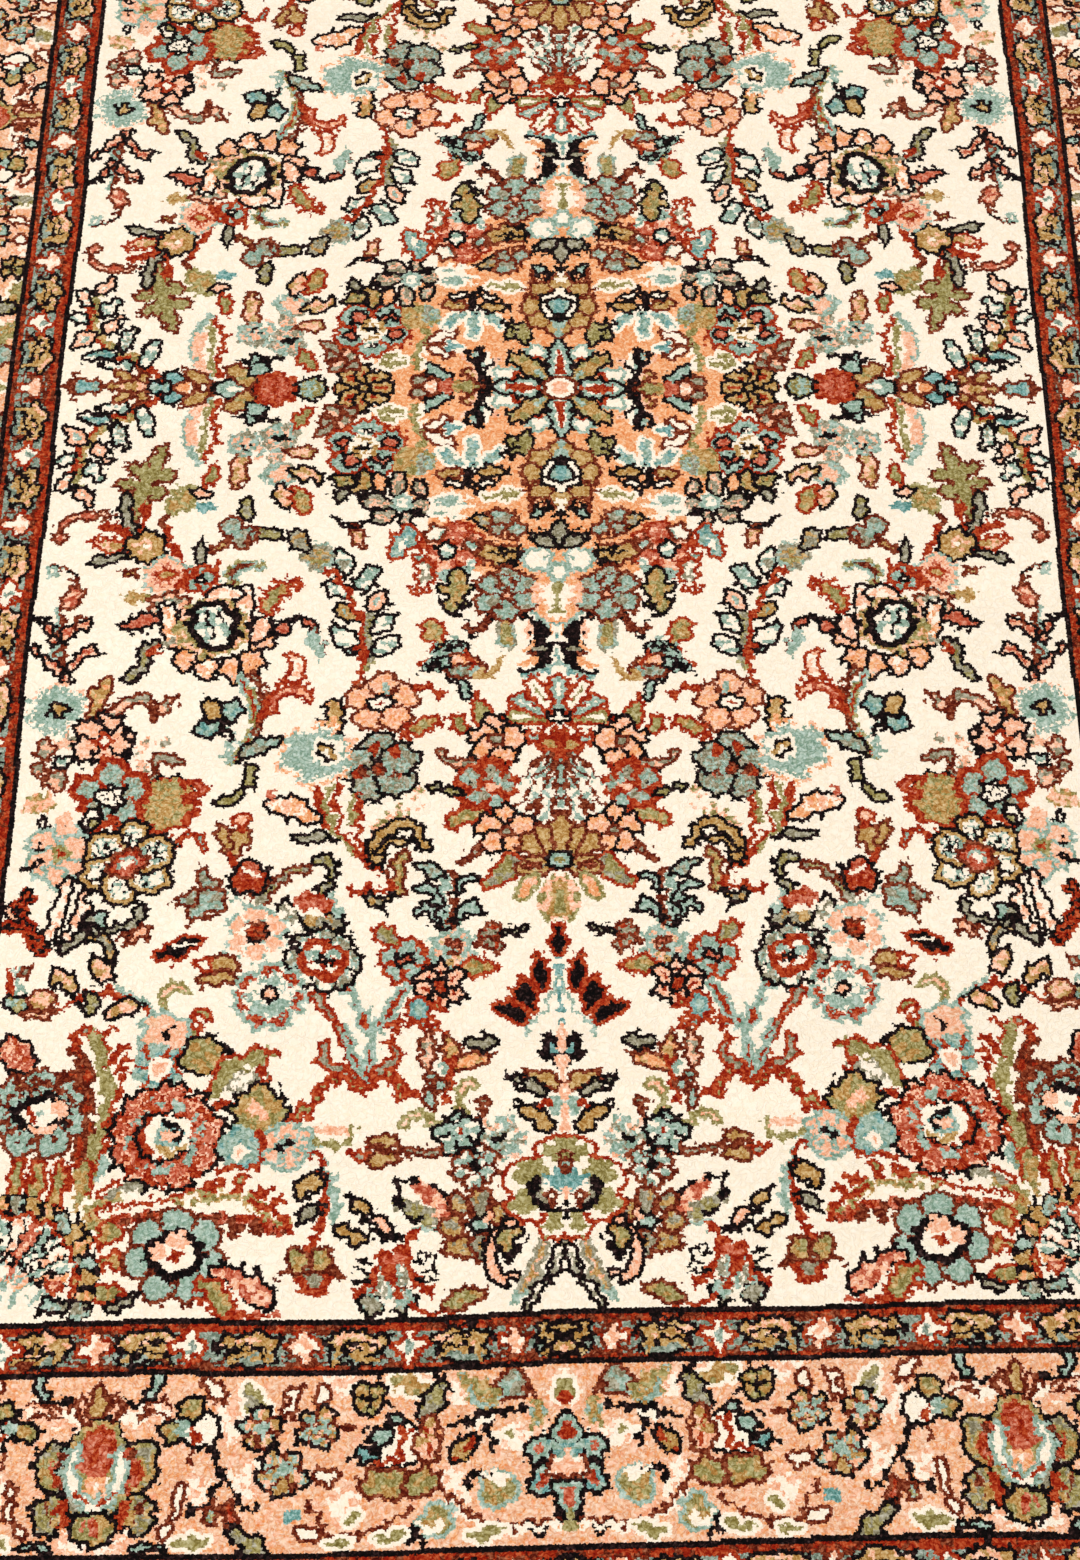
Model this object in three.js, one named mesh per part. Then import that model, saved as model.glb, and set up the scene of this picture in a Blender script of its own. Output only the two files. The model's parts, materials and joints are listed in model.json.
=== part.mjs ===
// A hand-knotted silk rug lying flat: one solid of clipped pile on a woven foundation,
// with an overcast cord along each side and a narrow plain web at each end.
// Millimetres, +Z up, length along Y, origin at the centre of the flat underside.
import * as THREE from "three";
import { mergeVertices } from "three/addons/utils/BufferGeometryUtils.js";

// Driving sizes
const KNOT_PITCH = 25.4 / 12;
const KNOTS_ACROSS = 432;
const KNOTS_ALONG = 720;
const PILE_TOP = 6;
const SIDE_CORD_WIDTH = 6;
const SIDE_CORD_HEIGHT = 4.8;
const END_WEB_LENGTH = 11;
const END_WEB_HEIGHT = 2.2;

// How the clipped pile rounds over at its edges
const PILE_EDGE_RUN = 2.8;
const PILE_EDGE_FOOT = 3.2;

// How far the outline strays from a true rectangle, as hand weaving does
const SIDE_SWAY = 1.6;
const SIDE_SWAY_LENGTHS = 1.5;
const WIDTH_SWELL = 1.2;
const END_SWAY = 2.2;
const END_SWAY_LENGTHS = 1.2;

// How finely the curved and the flat stretches are divided
const CORD_STEPS = 5;
const EDGE_STEPS = 3;
const ACROSS_STEPS = 7;
const ALONG_STEPS = 12;

const PILE_HALF_WIDTH = (KNOTS_ACROSS * KNOT_PITCH) / 2;
const PILE_HALF_LENGTH = (KNOTS_ALONG * KNOT_PITCH) / 2;
const HALF_WIDTH = PILE_HALF_WIDTH + SIDE_CORD_WIDTH;
const HALF_LENGTH = PILE_HALF_LENGTH + END_WEB_LENGTH;
const QUARTER_TURN = Math.PI / 2;

// Points up the side cord's oval section: place from the middle line, top and underside.
function cordStations() {
  const lowestAngle = QUARTER_TURN / 4;
  const radius = SIDE_CORD_WIDTH / 2;
  const middle = SIDE_CORD_HEIGHT / 2;
  const stations = [];
  for (let step = 0; step <= CORD_STEPS; step++) {
    const angle = lowestAngle + (step / CORD_STEPS) * (1.5 * QUARTER_TURN - lowestAngle);
    const outerHalf = angle <= QUARTER_TURN;
    stations.push({
      place: HALF_WIDTH - radius + radius * Math.cos(angle),
      top: middle + middle * Math.sin(angle),
      under: outerHalf ? middle - middle * Math.sin(angle) : 0,
    });
  }
  return stations;
}

// Points over the rounded edge of the pile, from its foot inwards to full height.
function pileEdgeStations(halfSize, foot) {
  const stations = [];
  for (let step = 0; step <= EDGE_STEPS; step++) {
    const angle = (step / EDGE_STEPS) * QUARTER_TURN;
    stations.push({
      place: halfSize - PILE_EDGE_RUN * (1 - Math.cos(angle)),
      top: foot + (PILE_TOP - foot) * Math.sin(angle),
      under: 0,
    });
  }
  return stations;
}

// Evenly spaced points over half of the level pile, without the edge's own last point.
function levelStations(halfSize, steps) {
  const reach = halfSize - PILE_EDGE_RUN;
  return Array.from({ length: steps }, (_, step) => ({
    place: reach * (1 - (step + 1) / steps),
    top: PILE_TOP,
    under: 0,
  }));
}

// Mirrors a list that runs from the outside to the middle line, so it runs from edge to edge.
function edgeToEdge(outsideToMiddle) {
  const mirrored = outsideToMiddle.map((s) => ({ ...s, place: -s.place }));
  return [...mirrored, ...outsideToMiddle.slice(0, -1).reverse()];
}

const across = edgeToEdge([
  ...cordStations(),
  ...pileEdgeStations(PILE_HALF_WIDTH, PILE_EDGE_FOOT),
  ...levelStations(PILE_HALF_WIDTH, ACROSS_STEPS),
]);

const along = edgeToEdge([
  { place: HALF_LENGTH, top: END_WEB_HEIGHT, under: 0 },
  { place: (HALF_LENGTH + PILE_HALF_LENGTH) / 2, top: END_WEB_HEIGHT, under: 0 },
  ...pileEdgeStations(PILE_HALF_LENGTH, END_WEB_HEIGHT),
  ...levelStations(PILE_HALF_LENGTH, ALONG_STEPS),
]);

// Each side sways in a slow wave and the width swells a little towards the middle.
function swayedX(x, y) {
  const lengthwise = y / HALF_LENGTH;
  const sway = SIDE_SWAY * Math.sin(lengthwise * SIDE_SWAY_LENGTHS * Math.PI);
  const swell = WIDTH_SWELL * Math.cos(lengthwise * QUARTER_TURN);
  return x + sway + (swell * x) / HALF_WIDTH;
}

// Each end strays from a straight line; the stray fades to nothing at the rug's middle.
function swayedY(x, y) {
  const sway = END_SWAY * Math.sin((x / HALF_WIDTH) * END_SWAY_LENGTHS * Math.PI);
  return y + sway * (y / HALF_LENGTH) ** 2 * Math.sign(y);
}

// A box divided at the stations, its top and underside lifted to the heights that they give.
function rugGeometry() {
  const columns = across.length - 1;
  const rows = along.length - 1;
  const geometry = new THREE.BoxGeometry(columns, rows, 2, columns, rows, 1);
  const position = geometry.getAttribute("position");
  for (let i = 0; i < position.count; i++) {
    const column = across[Math.round(position.getX(i) + columns / 2)];
    const row = along[Math.round(position.getY(i) + rows / 2)];
    const top = Math.min(column.top, row.top);
    const under = Math.min(column.under, top / 3);
    position.setXYZ(
      i,
      swayedX(column.place, row.place),
      swayedY(column.place, row.place),
      position.getZ(i) > 0 ? top : under,
    );
  }
  geometry.deleteAttribute("normal");
  geometry.deleteAttribute("uv");
  const closed = mergeVertices(geometry, 1e-4);
  closed.computeVertexNormals();
  return closed;
}

const silkPile = new THREE.MeshStandardMaterial({
  color: 0xc9a07c,
  roughness: 0.62,
  metalness: 0,
});

const rug = new THREE.Mesh(rugGeometry(), silkPile);
rug.name = "rug";

const group = new THREE.Group();
group.add(rug);

export default group;
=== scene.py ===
"""A hand-knotted silk rug, laid flat: clipped pile with a floral medallion design, its woven back,
the overcast cords of its sides and the plain webs of its ends, on a studio floor. Metres, +Z up."""
import functools
import json
from math import cos, radians, sin

import bpy
import numpy as np
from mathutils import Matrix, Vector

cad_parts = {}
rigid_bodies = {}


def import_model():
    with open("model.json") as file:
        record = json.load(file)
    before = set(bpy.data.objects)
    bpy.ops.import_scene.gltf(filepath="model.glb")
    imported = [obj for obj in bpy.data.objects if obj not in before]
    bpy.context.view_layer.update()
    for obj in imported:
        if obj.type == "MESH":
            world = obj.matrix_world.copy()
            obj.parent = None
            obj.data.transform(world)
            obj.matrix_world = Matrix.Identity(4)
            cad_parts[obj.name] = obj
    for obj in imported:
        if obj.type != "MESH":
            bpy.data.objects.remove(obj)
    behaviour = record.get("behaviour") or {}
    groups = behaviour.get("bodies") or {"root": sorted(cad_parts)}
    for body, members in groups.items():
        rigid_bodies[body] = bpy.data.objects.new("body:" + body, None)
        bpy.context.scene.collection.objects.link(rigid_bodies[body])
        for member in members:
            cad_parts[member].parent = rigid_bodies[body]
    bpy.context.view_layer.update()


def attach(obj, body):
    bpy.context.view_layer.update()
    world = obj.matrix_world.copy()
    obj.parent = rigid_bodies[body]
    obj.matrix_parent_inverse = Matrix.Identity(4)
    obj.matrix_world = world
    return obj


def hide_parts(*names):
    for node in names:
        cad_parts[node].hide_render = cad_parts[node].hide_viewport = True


bl_info = {
    "name": "Knotted Silk Rug",
    "version": (1, 0, 0),
    "blender": (4, 5, 0),
    "location": "3D View > Sidebar > Rug",
    "description": "Builds a knotted silk rug around its packed solid, and its studio",
    "category": "Object",
}

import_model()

BODY = "root"
RUG_NODE = "rug"
MM = 0.001

# The weave: knots of the pile, and how the clipped pile rounds over at its edges
KNOT = 25.4 * MM / 12
KNOTS_ACROSS = 432
KNOTS_ALONG = 720
PILE_TOP = 6 * MM
PILE_EDGE_RUN = 2.8 * MM
SIDE_FOOT = 3.2 * MM
END_FOOT = 2.2 * MM
CORD_WIDTH = 6 * MM
CORD_HEIGHT = 4.8 * MM
WEB_LENGTH = 11 * MM
PILE_HALF_WIDTH = KNOTS_ACROSS * KNOT / 2
PILE_HALF_LENGTH = KNOTS_ALONG * KNOT / 2
HALF_WIDTH = PILE_HALF_WIDTH + CORD_WIDTH
HALF_LENGTH = PILE_HALF_LENGTH + WEB_LENGTH

# How far the outline strays from a true rectangle
SIDE_SWAY = 1.6 * MM
SIDE_SWAY_LENGTHS = 1.5
WIDTH_SWELL = 1.2 * MM
END_SWAY = 2.2 * MM
END_SWAY_LENGTHS = 1.2

# How far the rows of knots bend towards the near end, and how soon across the rug they reach that
ROW_BEND = 9 * MM
ROW_BEND_REACH = 120 * MM
ROW_BEND_END = 24

# How far the side guards are drawn in towards the middle
SIDE_PINCH = 8 * MM

# The pile is made as lengthwise strips, each with its own bake UV map in three folded columns
PILE_STRIPS = 6
MAP_FOLDS = 3
MAP_MARGIN = 0.004

# The design is charted in cells of half a knot; four by four cells reach each knot and its rim
CELL = 0.5
CELLS_READ = 4
DYE_BASE = 16

# The teeth of the drawn edges: how far they reach, in knots, and how often their noise is evened out
TOOTH_REACH = 0.55
TOOTH_EVENING = 5

# How often the noise is evened out that mixes two dyes in streaks
STREAK_EVENING = 5

# The dyes of the silk, in the order of their numbers in the chart
DYES = "ivory peach coral rust brown black sky teal olive gold taupe pink salmon slate".split()
INK = {name: number for number, name in enumerate(DYES)}

# How full a petal or leaf is towards its base and towards its tip
FORMS = {
    "round": (0.5, 0.5),
    "drop": (1.0, 0.4),
    "point": (0.5, 1.0),
}


def shrunk(mask):
    """The cells of a shape whose four neighbours are all in it."""
    kept = mask.copy()
    kept[1:] &= mask[:-1]
    kept[:-1] &= mask[1:]
    kept[:, 1:] &= mask[:, :-1]
    kept[:, :-1] &= mask[:, 1:]
    return kept


def shrunk_round(mask):
    """The cells of a shape whose eight neighbours are all in it."""
    kept = shrunk(mask)
    kept[1:, 1:] &= mask[:-1, :-1]
    kept[:-1, :-1] &= mask[1:, 1:]
    kept[1:, :-1] &= mask[:-1, 1:]
    kept[:-1, 1:] &= mask[1:, :-1]
    return kept


def without_rim(mask):
    """A shape less a rim one knot wide."""
    return shrunk(shrunk_round(mask))


def with_rim(mask):
    """A shape and a rim one knot wide."""
    return ~without_rim(~mask)


def smoothed(field, times):
    """A random field evened out by averaging each value with its four neighbours a few times."""
    for _ in range(times):
        framed = np.pad(field, 1, mode="edge")
        field = (framed[:-2, 1:-1] + framed[2:, 1:-1] + framed[1:-1, :-2] + framed[1:-1, 2:] + 4 * field) / 8
    return field


class Chart:
    """The dye number of every cell, and where each cell lies. Measures are in knots."""

    def __init__(self, low_x, high_x, low_y, high_y, ground):
        across = np.arange(low_x, high_x, CELL) + CELL / 2
        up = np.arange(low_y, high_y, CELL) + CELL / 2
        self.x, self.y = np.meshgrid(across, up)
        self.dye = np.full(self.x.shape, INK[ground])
        streaks = smoothed(np.random.default_rng(5).normal(size=self.x.shape), STREAK_EVENING)
        self.streak = streaks.ravel().argsort().argsort().reshape(streaks.shape) / streaks.size

    def sharing(self, x, y, part=np.s_[:, :]):
        """A chart of the same cells, or a part of them, that measures them by other coordinates."""
        other = Chart.__new__(Chart)
        other.x = x
        other.y = y
        other.dye = self.dye[part]
        other.streak = self.streak[part]
        return other

    def fill(self, mask, dye):
        """Gives cells one dye, or several joined by + in small streaks."""
        numbers = np.array([INK[name] for name in dye.split("+")])
        self.dye[mask] = numbers[(self.streak[mask] * len(numbers)).astype(int)]

    def placed(self, x, y, turn=0, flip=1):
        """The same cells, measured from another point along turned axes; flip -1 mirrors the first axis."""
        a = radians(turn)
        right = flip * ((self.x - x) * cos(a) + (self.y - y) * sin(a))
        return self.sharing(right, (self.y - y) * cos(a) - (self.x - x) * sin(a))

    def ragged(self, seed):
        """The same cells with each place shaken, so that shapes drawn there get edges with teeth, as the
        weaver's steps from knot to knot give them."""
        draw = np.random.default_rng(seed)
        shaken = []
        for place in (self.x, self.y):
            shake = smoothed(draw.normal(size=place.shape), TOOTH_EVENING)
            shaken.append(place + TOOTH_REACH * shake / shake.std())
        return self.sharing(*shaken)

    def around(self, points, reach):
        """The part of the chart that lies round some points."""
        low = np.min(points, axis=0) - reach
        high = np.max(points, axis=0) + reach
        inside = (self.x > low[0]) & (self.x < high[0]) & (self.y > low[1]) & (self.y < high[1])
        rows = np.flatnonzero(inside.any(axis=1))
        columns = np.flatnonzero(inside.any(axis=0))
        if len(rows) == 0:
            rows = columns = [0]
        part = np.s_[rows[0] : rows[-1] + 1, columns[0] : columns[-1] + 1]
        return self.sharing(self.x[part], self.y[part], part)

    def paint(self, mask, dyes):
        """Fills a shape ring by ring from its rim inwards, a knot to each dye; the last dye fills the
        rest. A dye before a slash lies round the shape."""
        round_shape, _, rings = dyes.rpartition("/")
        if round_shape:
            self.fill(with_rim(mask), round_shape)
        for dye in rings.split():
            self.fill(mask, dye)
            mask = without_rim(mask)

    @staticmethod
    def smooth(points, steps=10):
        """Points along a Catmull-Rom curve through the given points: each run is a cubic whose slope at a
        point is half the way between that point's neighbours."""
        p = np.array(points, float)
        if len(p) == 2:
            t = np.linspace(0, 1, 2 * steps)[:, None]
            return p[0] * (1 - t) + p[1] * t
        q = np.vstack([2 * p[0] - p[1], p, 2 * p[-1] - p[-2]])
        t = np.linspace(0, 1, steps, endpoint=False)[:, None]
        runs = []
        for a, b, c, d in zip(q, q[1:], q[2:], q[3:]):
            square = (2 * a - 5 * b + 4 * c - d) * t**2
            cube = (3 * b - a - 3 * c + d) * t**3
            runs.append(0.5 * (2 * b + (c - a) * t + square + cube))
        return np.vstack(runs + [p[-1:]])

    def near(self, line):
        """For every cell: how far along the line, from 0 to 1, its nearest point is, the distance to the
        left of the line there, and the distance past its ends."""
        dx = self.x[..., None] - line[:, 0]
        dy = self.y[..., None] - line[:, 1]
        nearest = np.argmin(dx**2 + dy**2, axis=-1)
        way = np.gradient(line, axis=0)
        way /= np.maximum(np.hypot(way[:, :1], way[:, 1:]), 1e-9)
        to_x = self.x - line[nearest, 0]
        to_y = self.y - line[nearest, 1]
        left = way[nearest, 0] * to_y - way[nearest, 1] * to_x
        ahead = way[nearest, 0] * to_x + way[nearest, 1] * to_y
        at_end = (nearest == 0) | (nearest == len(line) - 1)
        return nearest / (len(line) - 1), left, ahead * at_end

    def draw(self, rows):
        """Draws a motif in order: each row is dyes, and then the shapes that they fill."""
        for dyes, *shapes in rows:
            for shape in shapes:
                shape(self, dyes)


def shape(draw):
    """Lets a drawing function be called with a shape's measures alone; what it returns then waits for the
    chart and the dyes."""
    return lambda *measures: lambda chart, dyes: draw(chart, dyes, *measures)


@shape
def line(chart, dyes, width, *points):
    """A stem: the cells within half the width of a smooth line through the points."""
    curve = chart.smooth(points)
    part = chart.around(curve, width / 2 + 3)
    _, away, past = part.near(curve)
    part.paint(np.hypot(away, past) <= width / 2, dyes)


@shape
def oval(chart, dyes, x, y, long, wide, turn=0):
    """An ellipse of a length and a width, its long axis turned."""
    part = chart.around([(x, y)], max(long, wide) / 2 + 4)
    a = radians(turn)
    u = (part.x - x) * cos(a) + (part.y - y) * sin(a)
    v = (part.y - y) * cos(a) - (part.x - x) * sin(a)
    part.paint((2 * u / long) ** 2 + (2 * v / wide) ** 2 <= 1, dyes)


@shape
def blade(chart, dyes, x, y, length, turn, bend, width, form="round", teeth=0):
    """A leaf or petal. Its middle line starts at its base in the direction of turn and bends evenly; half
    its width at t from base to tip is t^base (1-t)^tip, scaled to the width at its widest, and notched by
    teeth."""
    t = np.linspace(0, 1, 25)
    heading = np.radians(turn + bend * t)
    step = length / (len(t) - 1)
    xs = x + step * np.concatenate([[0], np.cumsum(np.cos(heading[:-1]))])
    ys = y + step * np.concatenate([[0], np.cumsum(np.sin(heading[:-1]))])
    curve = np.stack([xs, ys], 1)
    part = chart.around(curve, width / 2 + 4)
    place, away, past = part.near(curve)
    base, tip = FORMS[form]
    t = np.clip(place + past / length, 0, 1)
    peak = base / (base + tip)
    half = width / 2 * (t**base * (1 - t) ** tip) / (peak**base * (1 - peak) ** tip)
    if teeth:
        half = half * (1.15 - 0.6 * ((t * teeth) % 1.0))
    part.paint((np.abs(away) <= half) & (t > 0) & (t < 1), dyes)


@shape
def bloom(chart, dyes, x, y, size, petals, turn, heart=None, heart_size=0.3, form="round"):
    """A flower seen from above: petals as long as size, evenly round a heart."""
    width = 1.72 * size * sin(np.pi / petals)
    for petal in range(petals):
        blade(x, y, size, turn + 360 * petal / petals, 0, width, form)(chart, dyes)
    if heart:
        across = 2 * size * heart_size
        oval(x, y, across, across)(chart, heart)


@shape
def rosette(chart, dyes, x, y, size, lobes, turn, depth, teeth=0, split=None, heart=None, heart_size=0.3):
    """A flower whose petals touch. Its rim is drawn in between the petals by a share of its size and
    notched by each petal's teeth, and lines of the split dye part the petals."""
    part = chart.around([(x, y)], size + 4)
    dx = part.x - x
    dy = part.y - y
    away = np.hypot(dx, dy)
    angle = np.arctan2(dy, dx) - radians(turn)
    rim = size * (1 - depth * (1 - np.abs(np.cos(lobes * angle / 2)) ** 0.6))
    if teeth:
        rim = rim * (1 - 0.1 * ((lobes * teeth * angle / (2 * np.pi)) % 1.0))
    inside = away <= rim
    part.paint(inside, dyes)
    if split:
        between = (angle % (2 * np.pi / lobes)) - np.pi / lobes
        part.fill(inside & (np.abs(away * np.sin(between)) <= 0.6), split)
    if heart:
        across = 2 * size * heart_size
        oval(x, y, across, across)(chart, heart)


# The field, motif by motif; each is drawn from an origin of its own, in knots
MEDALLION = (
    # chain of motifs that lies along the middle line across the rug
    ("brown teal+sky", oval(-81, 50, 12, 7)),
    ("brown", line(1.4, (-89, 50), (-86, 49), (-84.5, 45))),
    ("brown gold+pink", blade(-62, 50, 14.5, 180, 0, 7)),
    ("brown gold", blade(-67, 49, 8.5, 225, 0, 4.4), blade(-64, 49, 7, 250, 0, 4)),
    ("black teal+sky", oval(-60, 50, 8.4, 7.4)),
    ("black teal", oval(-56, 46.8, 7, 6)),
    ("brown peach+ivory", oval(-52, 50, 8, 6)),
    ("brown gold", blade(-45, 49, 11, 210, 12, 5)),
    ("black sky sky ivory", oval(-39, 50, 13.4, 8.8)),
    ("brown gold+gold+olive", blade(-32, 48, 11.5, 208, 14, 7)),
    ("black sky", blade(-31, 47, 11, -105, 10, 6.8)),
    ("black", line(1.8, (-37.5, 39.5), (-33, 40), (-31, 38)),
     line(1.8, (-30, 41), (-27.5, 38), (-25.5, 38.4))),
    ("rust coral+coral+rust", oval(-26.6, 50, 12.4, 12.4)),
    ("black olive+sky+olive", oval(-17, 50, 9.4, 9)),
    # gold rosette on the medallion's edge
    ("black gold rust", bloom(-1.6, 50, 9.6, 8, 90, "black olive+gold", 0.3)),
    ("brown", line(1, (-12, 50), (-10, 50))),
    # small flower between it and the centre
    ("brown gold", blade(33, 48.6, 9, 214, 10, 4.2)),
    ("brown gold+olive", blade(34.4, 50, 10, 180, 0, 5)),
    ("brown taupe", oval(14, 47.6, 7, 5, -20)),
    ("black sky", blade(25, 47.2, 11, 190, 42, 6)),
    ("brown ivory+pink", oval(18, 49.2, 6, 4.8)),
    ("rust+coral", oval(22, 49.4, 4.6, 4)),
    ("gold+olive", oval(25.4, 49.6, 3.6, 3)),
    # black sprig
    ("pink", line(1.4, (30.4, 46.6), (30, 42), (26.4, 39.4), (27, 36)),
     line(1.4, (34.4, 46.6), (36.4, 42.6), (37, 39))),
    ("ivory", line(2.4, (34.2, 45.4), (33.6, 42), (34, 37))),
    ("black", line(2.8, (34.6, 48.2), (32.6, 46), (31.2, 42.6), (31.6, 39), (31.8, 35)),
     line(1.6, (31.6, 40.6), (28.4, 39.6), (28, 37), (31, 35.8)),
     line(1.6, (33, 42.6), (34.8, 41.6), (35.6, 39.4))),
    ("sky", oval(30.2, 38, 3, 2.4), oval(32.2, 41.6, 1.2, 1.6)),
    # olive leaf with ivory edge and olive curl
    ("ivory/olive", oval(6.4, 40.4, 7.4, 5.6)),
    ("ivory", line(1, (5.5, 40), (9.5, 39.8)), line(2.2, (14.7, 43), (15.2, 36))),
    ("olive", line(1.8, (13.5, 43), (13, 38), (15.5, 34), (16.7, 30), (15, 29))),
    # mauve leaf cluster
    ("brown taupe+pink", oval(-9.6, 41.6, 6.6, 5.4)),
    ("brown taupe", oval(-5.4, 41.6, 5.4, 5.4), oval(-11.4, 37.6, 6.4, 5.4)),
    ("brown taupe+pink", oval(-6.4, 37.8, 5.6, 6.4)),
    ("brown taupe", blade(-8, 36, 8, 200, 0, 4, "point")),
    # blue rosette in red
    ("rust sky sky black", oval(0.6, 34.4, 11, 9.6)),
    ("rust sky", oval(-6, 30.4, 10.8, 10.6), oval(6.6, 30.6, 10.8, 10.6)),
    ("black coral", oval(-6, 30.6, 6, 5.6), oval(6.4, 30.8, 6, 5.6)),
    ("rust sky", oval(-4, 23.6, 10.8, 10.4), oval(4.6, 23.6, 10.8, 10.4)),
    ("black coral", oval(-3.8, 23.8, 6, 5.6), oval(4.4, 23.8, 6, 5.6)),
    ("ivory", oval(0.2, 29, 8, 9), line(1.2, (0.2, 35), (0.2, 33))),
    ("gold", oval(-1.4, 27.4, 2.8, 5), oval(2.4, 27.4, 2.8, 5), oval(0.2, 31.6, 3, 2)),
    ("black", line(1.5, (-1.4, 28.6), (1.8, 28.6))),
    ("rust", line(2, (0.3, 24), (0.3, 20.4))),
    # ivory trefoil with a brown edge
    ("ivory", oval(24.4, 34.6, 7, 6.4)),
    ("brown ivory", blade(16.5, 34, 9, 42, -15, 5), blade(16.5, 34, 10, -38, 15, 5)),
    ("teal", oval(24, 34.6, 4.4, 4)),
    # teal spray over a black bracket
    ("ivory/sky+teal+sky", blade(29, 19, 11, 134, 0, 3), blade(31, 19, 11, 46, 0, 3),
     blade(30, 19, 12.6, 90, 0, 3.2)),
    ("brown gold", oval(24.2, 19, 9.4, 4.8, 8)),
    ("black gold", oval(36, 19, 10, 4.6, -6)),
    ("black ivory", oval(25.6, 15.1, 6.6, 4.2, -8), oval(34.2, 15.3, 6.6, 4.2, 8)),
    ("black", line(2, (29.6, 20.5), (29.4, 16), (32, 12))),
    # mottled tuft
    ("olive+gold+gold", oval(12.5, 23, 9, 11)),
    ("olive+sky+taupe", oval(17, 23, 6, 8)),
    # gold palmette under the blue rosette
    ("black gold+olive", blade(-1, 16, 8.4, 176, -16, 6)),
    ("black taupe", blade(-1, 13, 9, 196, 10, 4.4)),
    ("black peach", oval(5, 15.4, 6, 9)),
    ("black gold+gold+olive", oval(0.4, 16, 6.6, 10)),
    # taupe star with pale blue heart
    ("black taupe+pink+taupe", oval(10, 15, 5.6, 9.4), oval(16.2, 13.4, 5.8, 6.8, 20),
     oval(17, 7.6, 8.6, 6.2), oval(13, 2.6, 5.8, 8), oval(6.4, 3.8, 8, 6.2, 35),
     oval(4.8, 8.8, 11, 5.6, -12)),
    ("sky sky+ivory", oval(11, 8.6, 6.4, 5.6)),
    # curved black leaf and tassel at the medallion's shoulder
    ("black", line(1.7, (-7, 3), (-4.6, 0.8), (0, 1.2), (4.4, 3))),
    ("brown pink+gold", blade(-1.6, 0.4, 8, -70, 0, 5.4)),
    # ivory and pale blue fan
    ("ivory sky", blade(19, 9, 12, 10, -10, 4, "point")),
    ("ivory ivory", blade(19, 7, 13, 0, 0, 4, "point")),
    ("ivory sky", blade(20, 6, 11, -20, 10, 4, "point")),
    ("sky", line(1, (22, 8.5), (29, 8.5))),
    # coral flower with ivory spots, its teal leaf to the left
    ("rust sky+teal+sky", blade(15, 1, 15, -110, -10, 9, "point", 3)),
    ("ivory", oval(12, -6, 2, 4)),
    ("rust coral+coral+pink", rosette(25.4, -7.8, 10.6, 6, 80, 0.2, 2, "rust")),
    ("brown ivory+sky", oval(21, -2, 6.6, 7.6), oval(31.6, -6.6, 5.6, 6.8)),
    ("rust ivory+sky", oval(18, -10, 4.6, 6.6)),
    ("black ivory+sky", oval(25, -8.2, 6.6, 6.6)),
    ("ivory+sky", oval(30.6, -14.4, 4.4, 4.6)),
    ("sky", oval(24, -16, 3.4, 3.6)),
    ("rust taupe+ivory", blade(18, -10.6, 13, -85, 0, 5.8)),
    ("rust", line(1.8, (15, -21), (16.4, -23), (18.4, -22))),
    # mottled ball and comma beside the medallion
    ("sky+taupe olive+gold+taupe", oval(-11.5, -10, 10, 10)),
    ("black taupe+gold", line(3.8, (-18, -6), (-17.8, -2.4), (-15.6, -3), (-14.4, -7.6))),
    # small motifs near the middle line
    ("ivory/olive", blade(33, 10.5, 12, 0, 10, 3, "round", 4)),
    ("black gold+taupe", blade(40, 0.4, 10, 166, 6, 6)),
    ("brown sky+taupe", oval(39.4, 3.2, 9, 7, -10), oval(38.4, -1, 6, 6.4), oval(43, -1.2, 6, 7.6)),
    ("black ivory", blade(53, 8, 8, -130, 0, 4, "point")),
    ("brown", line(2, (47, 10), (47, 5))),
    ("black taupe", blade(55, -7, 11, 150, 0, 6, "point")),
    ("brown gold", blade(32, -10, 14.4, 0, 0, 8.4)),
    ("brown", line(1.4, (33.4, -6.2), (39, -6.6))),
    ("black", line(1.2, (36.4, -9.6), (40.4, -9.4)), line(2, (39, -7.6), (42.4, -9), (44.4, -7.4)),
     line(2, (44.2, -9), (43.4, -12.4), (39.4, -13.8))),
    ("black olive+gold", blade(27.6, -14, 17, -92, -4, 10, "round", 3)),
    ("black", line(2, (28, -27), (27.4, -29.6), (24.6, -30.2))),
    ("brown sky+sky+taupe", rosette(41, -23.6, 10.6, 6, 90, 0.22, 2, "brown")),
    ("brown pink", oval(41, -23.4, 5, 5)),
    ("brown", oval(41, -17.6, 2.4, 2.4)),
)

SPRIG_BESIDE_MEDALLION = (
    ("olive+taupe", line(2.4, (8, 22), (8.4, 12), (8, 2))),
    ("olive+pink", line(1.8, (-1.6, 33.4), (2, 29), (4.4, 24.4))),
    ("black taupe+sky+ivory", blade(2, 32, 11.6, 100, 0, 6.4)),
    ("black sky+sky+ivory", blade(5.4, 27, 11.6, 66, 0, 7)),
    ("black sky+ivory", blade(4, 27.4, 10, 160, 10, 6), blade(8.4, 13.4, 10.4, 50, -20, 5.6),
     blade(5.6, 7, 13, 124, 6, 7), blade(8.4, 6, 11.6, 42, -12, 6.8)),
    ("black pink sky+ivory", blade(8.4, 20, 9.6, 60, -8, 6.6)),
    ("black gold ivory+sky", blade(5.4, 18.6, 8.6, 142, 0, 6)),
    ("black sky", oval(3.4, 8.4, 4.4, 5.4)),
    ("black", oval(10.6, 9.6, 2.4, 2.4)),
    ("rust", line(2, (-5, 37.4), (0, 31.4), (4, 24), (6.2, 16), (6.6, 8), (6, 0))),
)

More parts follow.
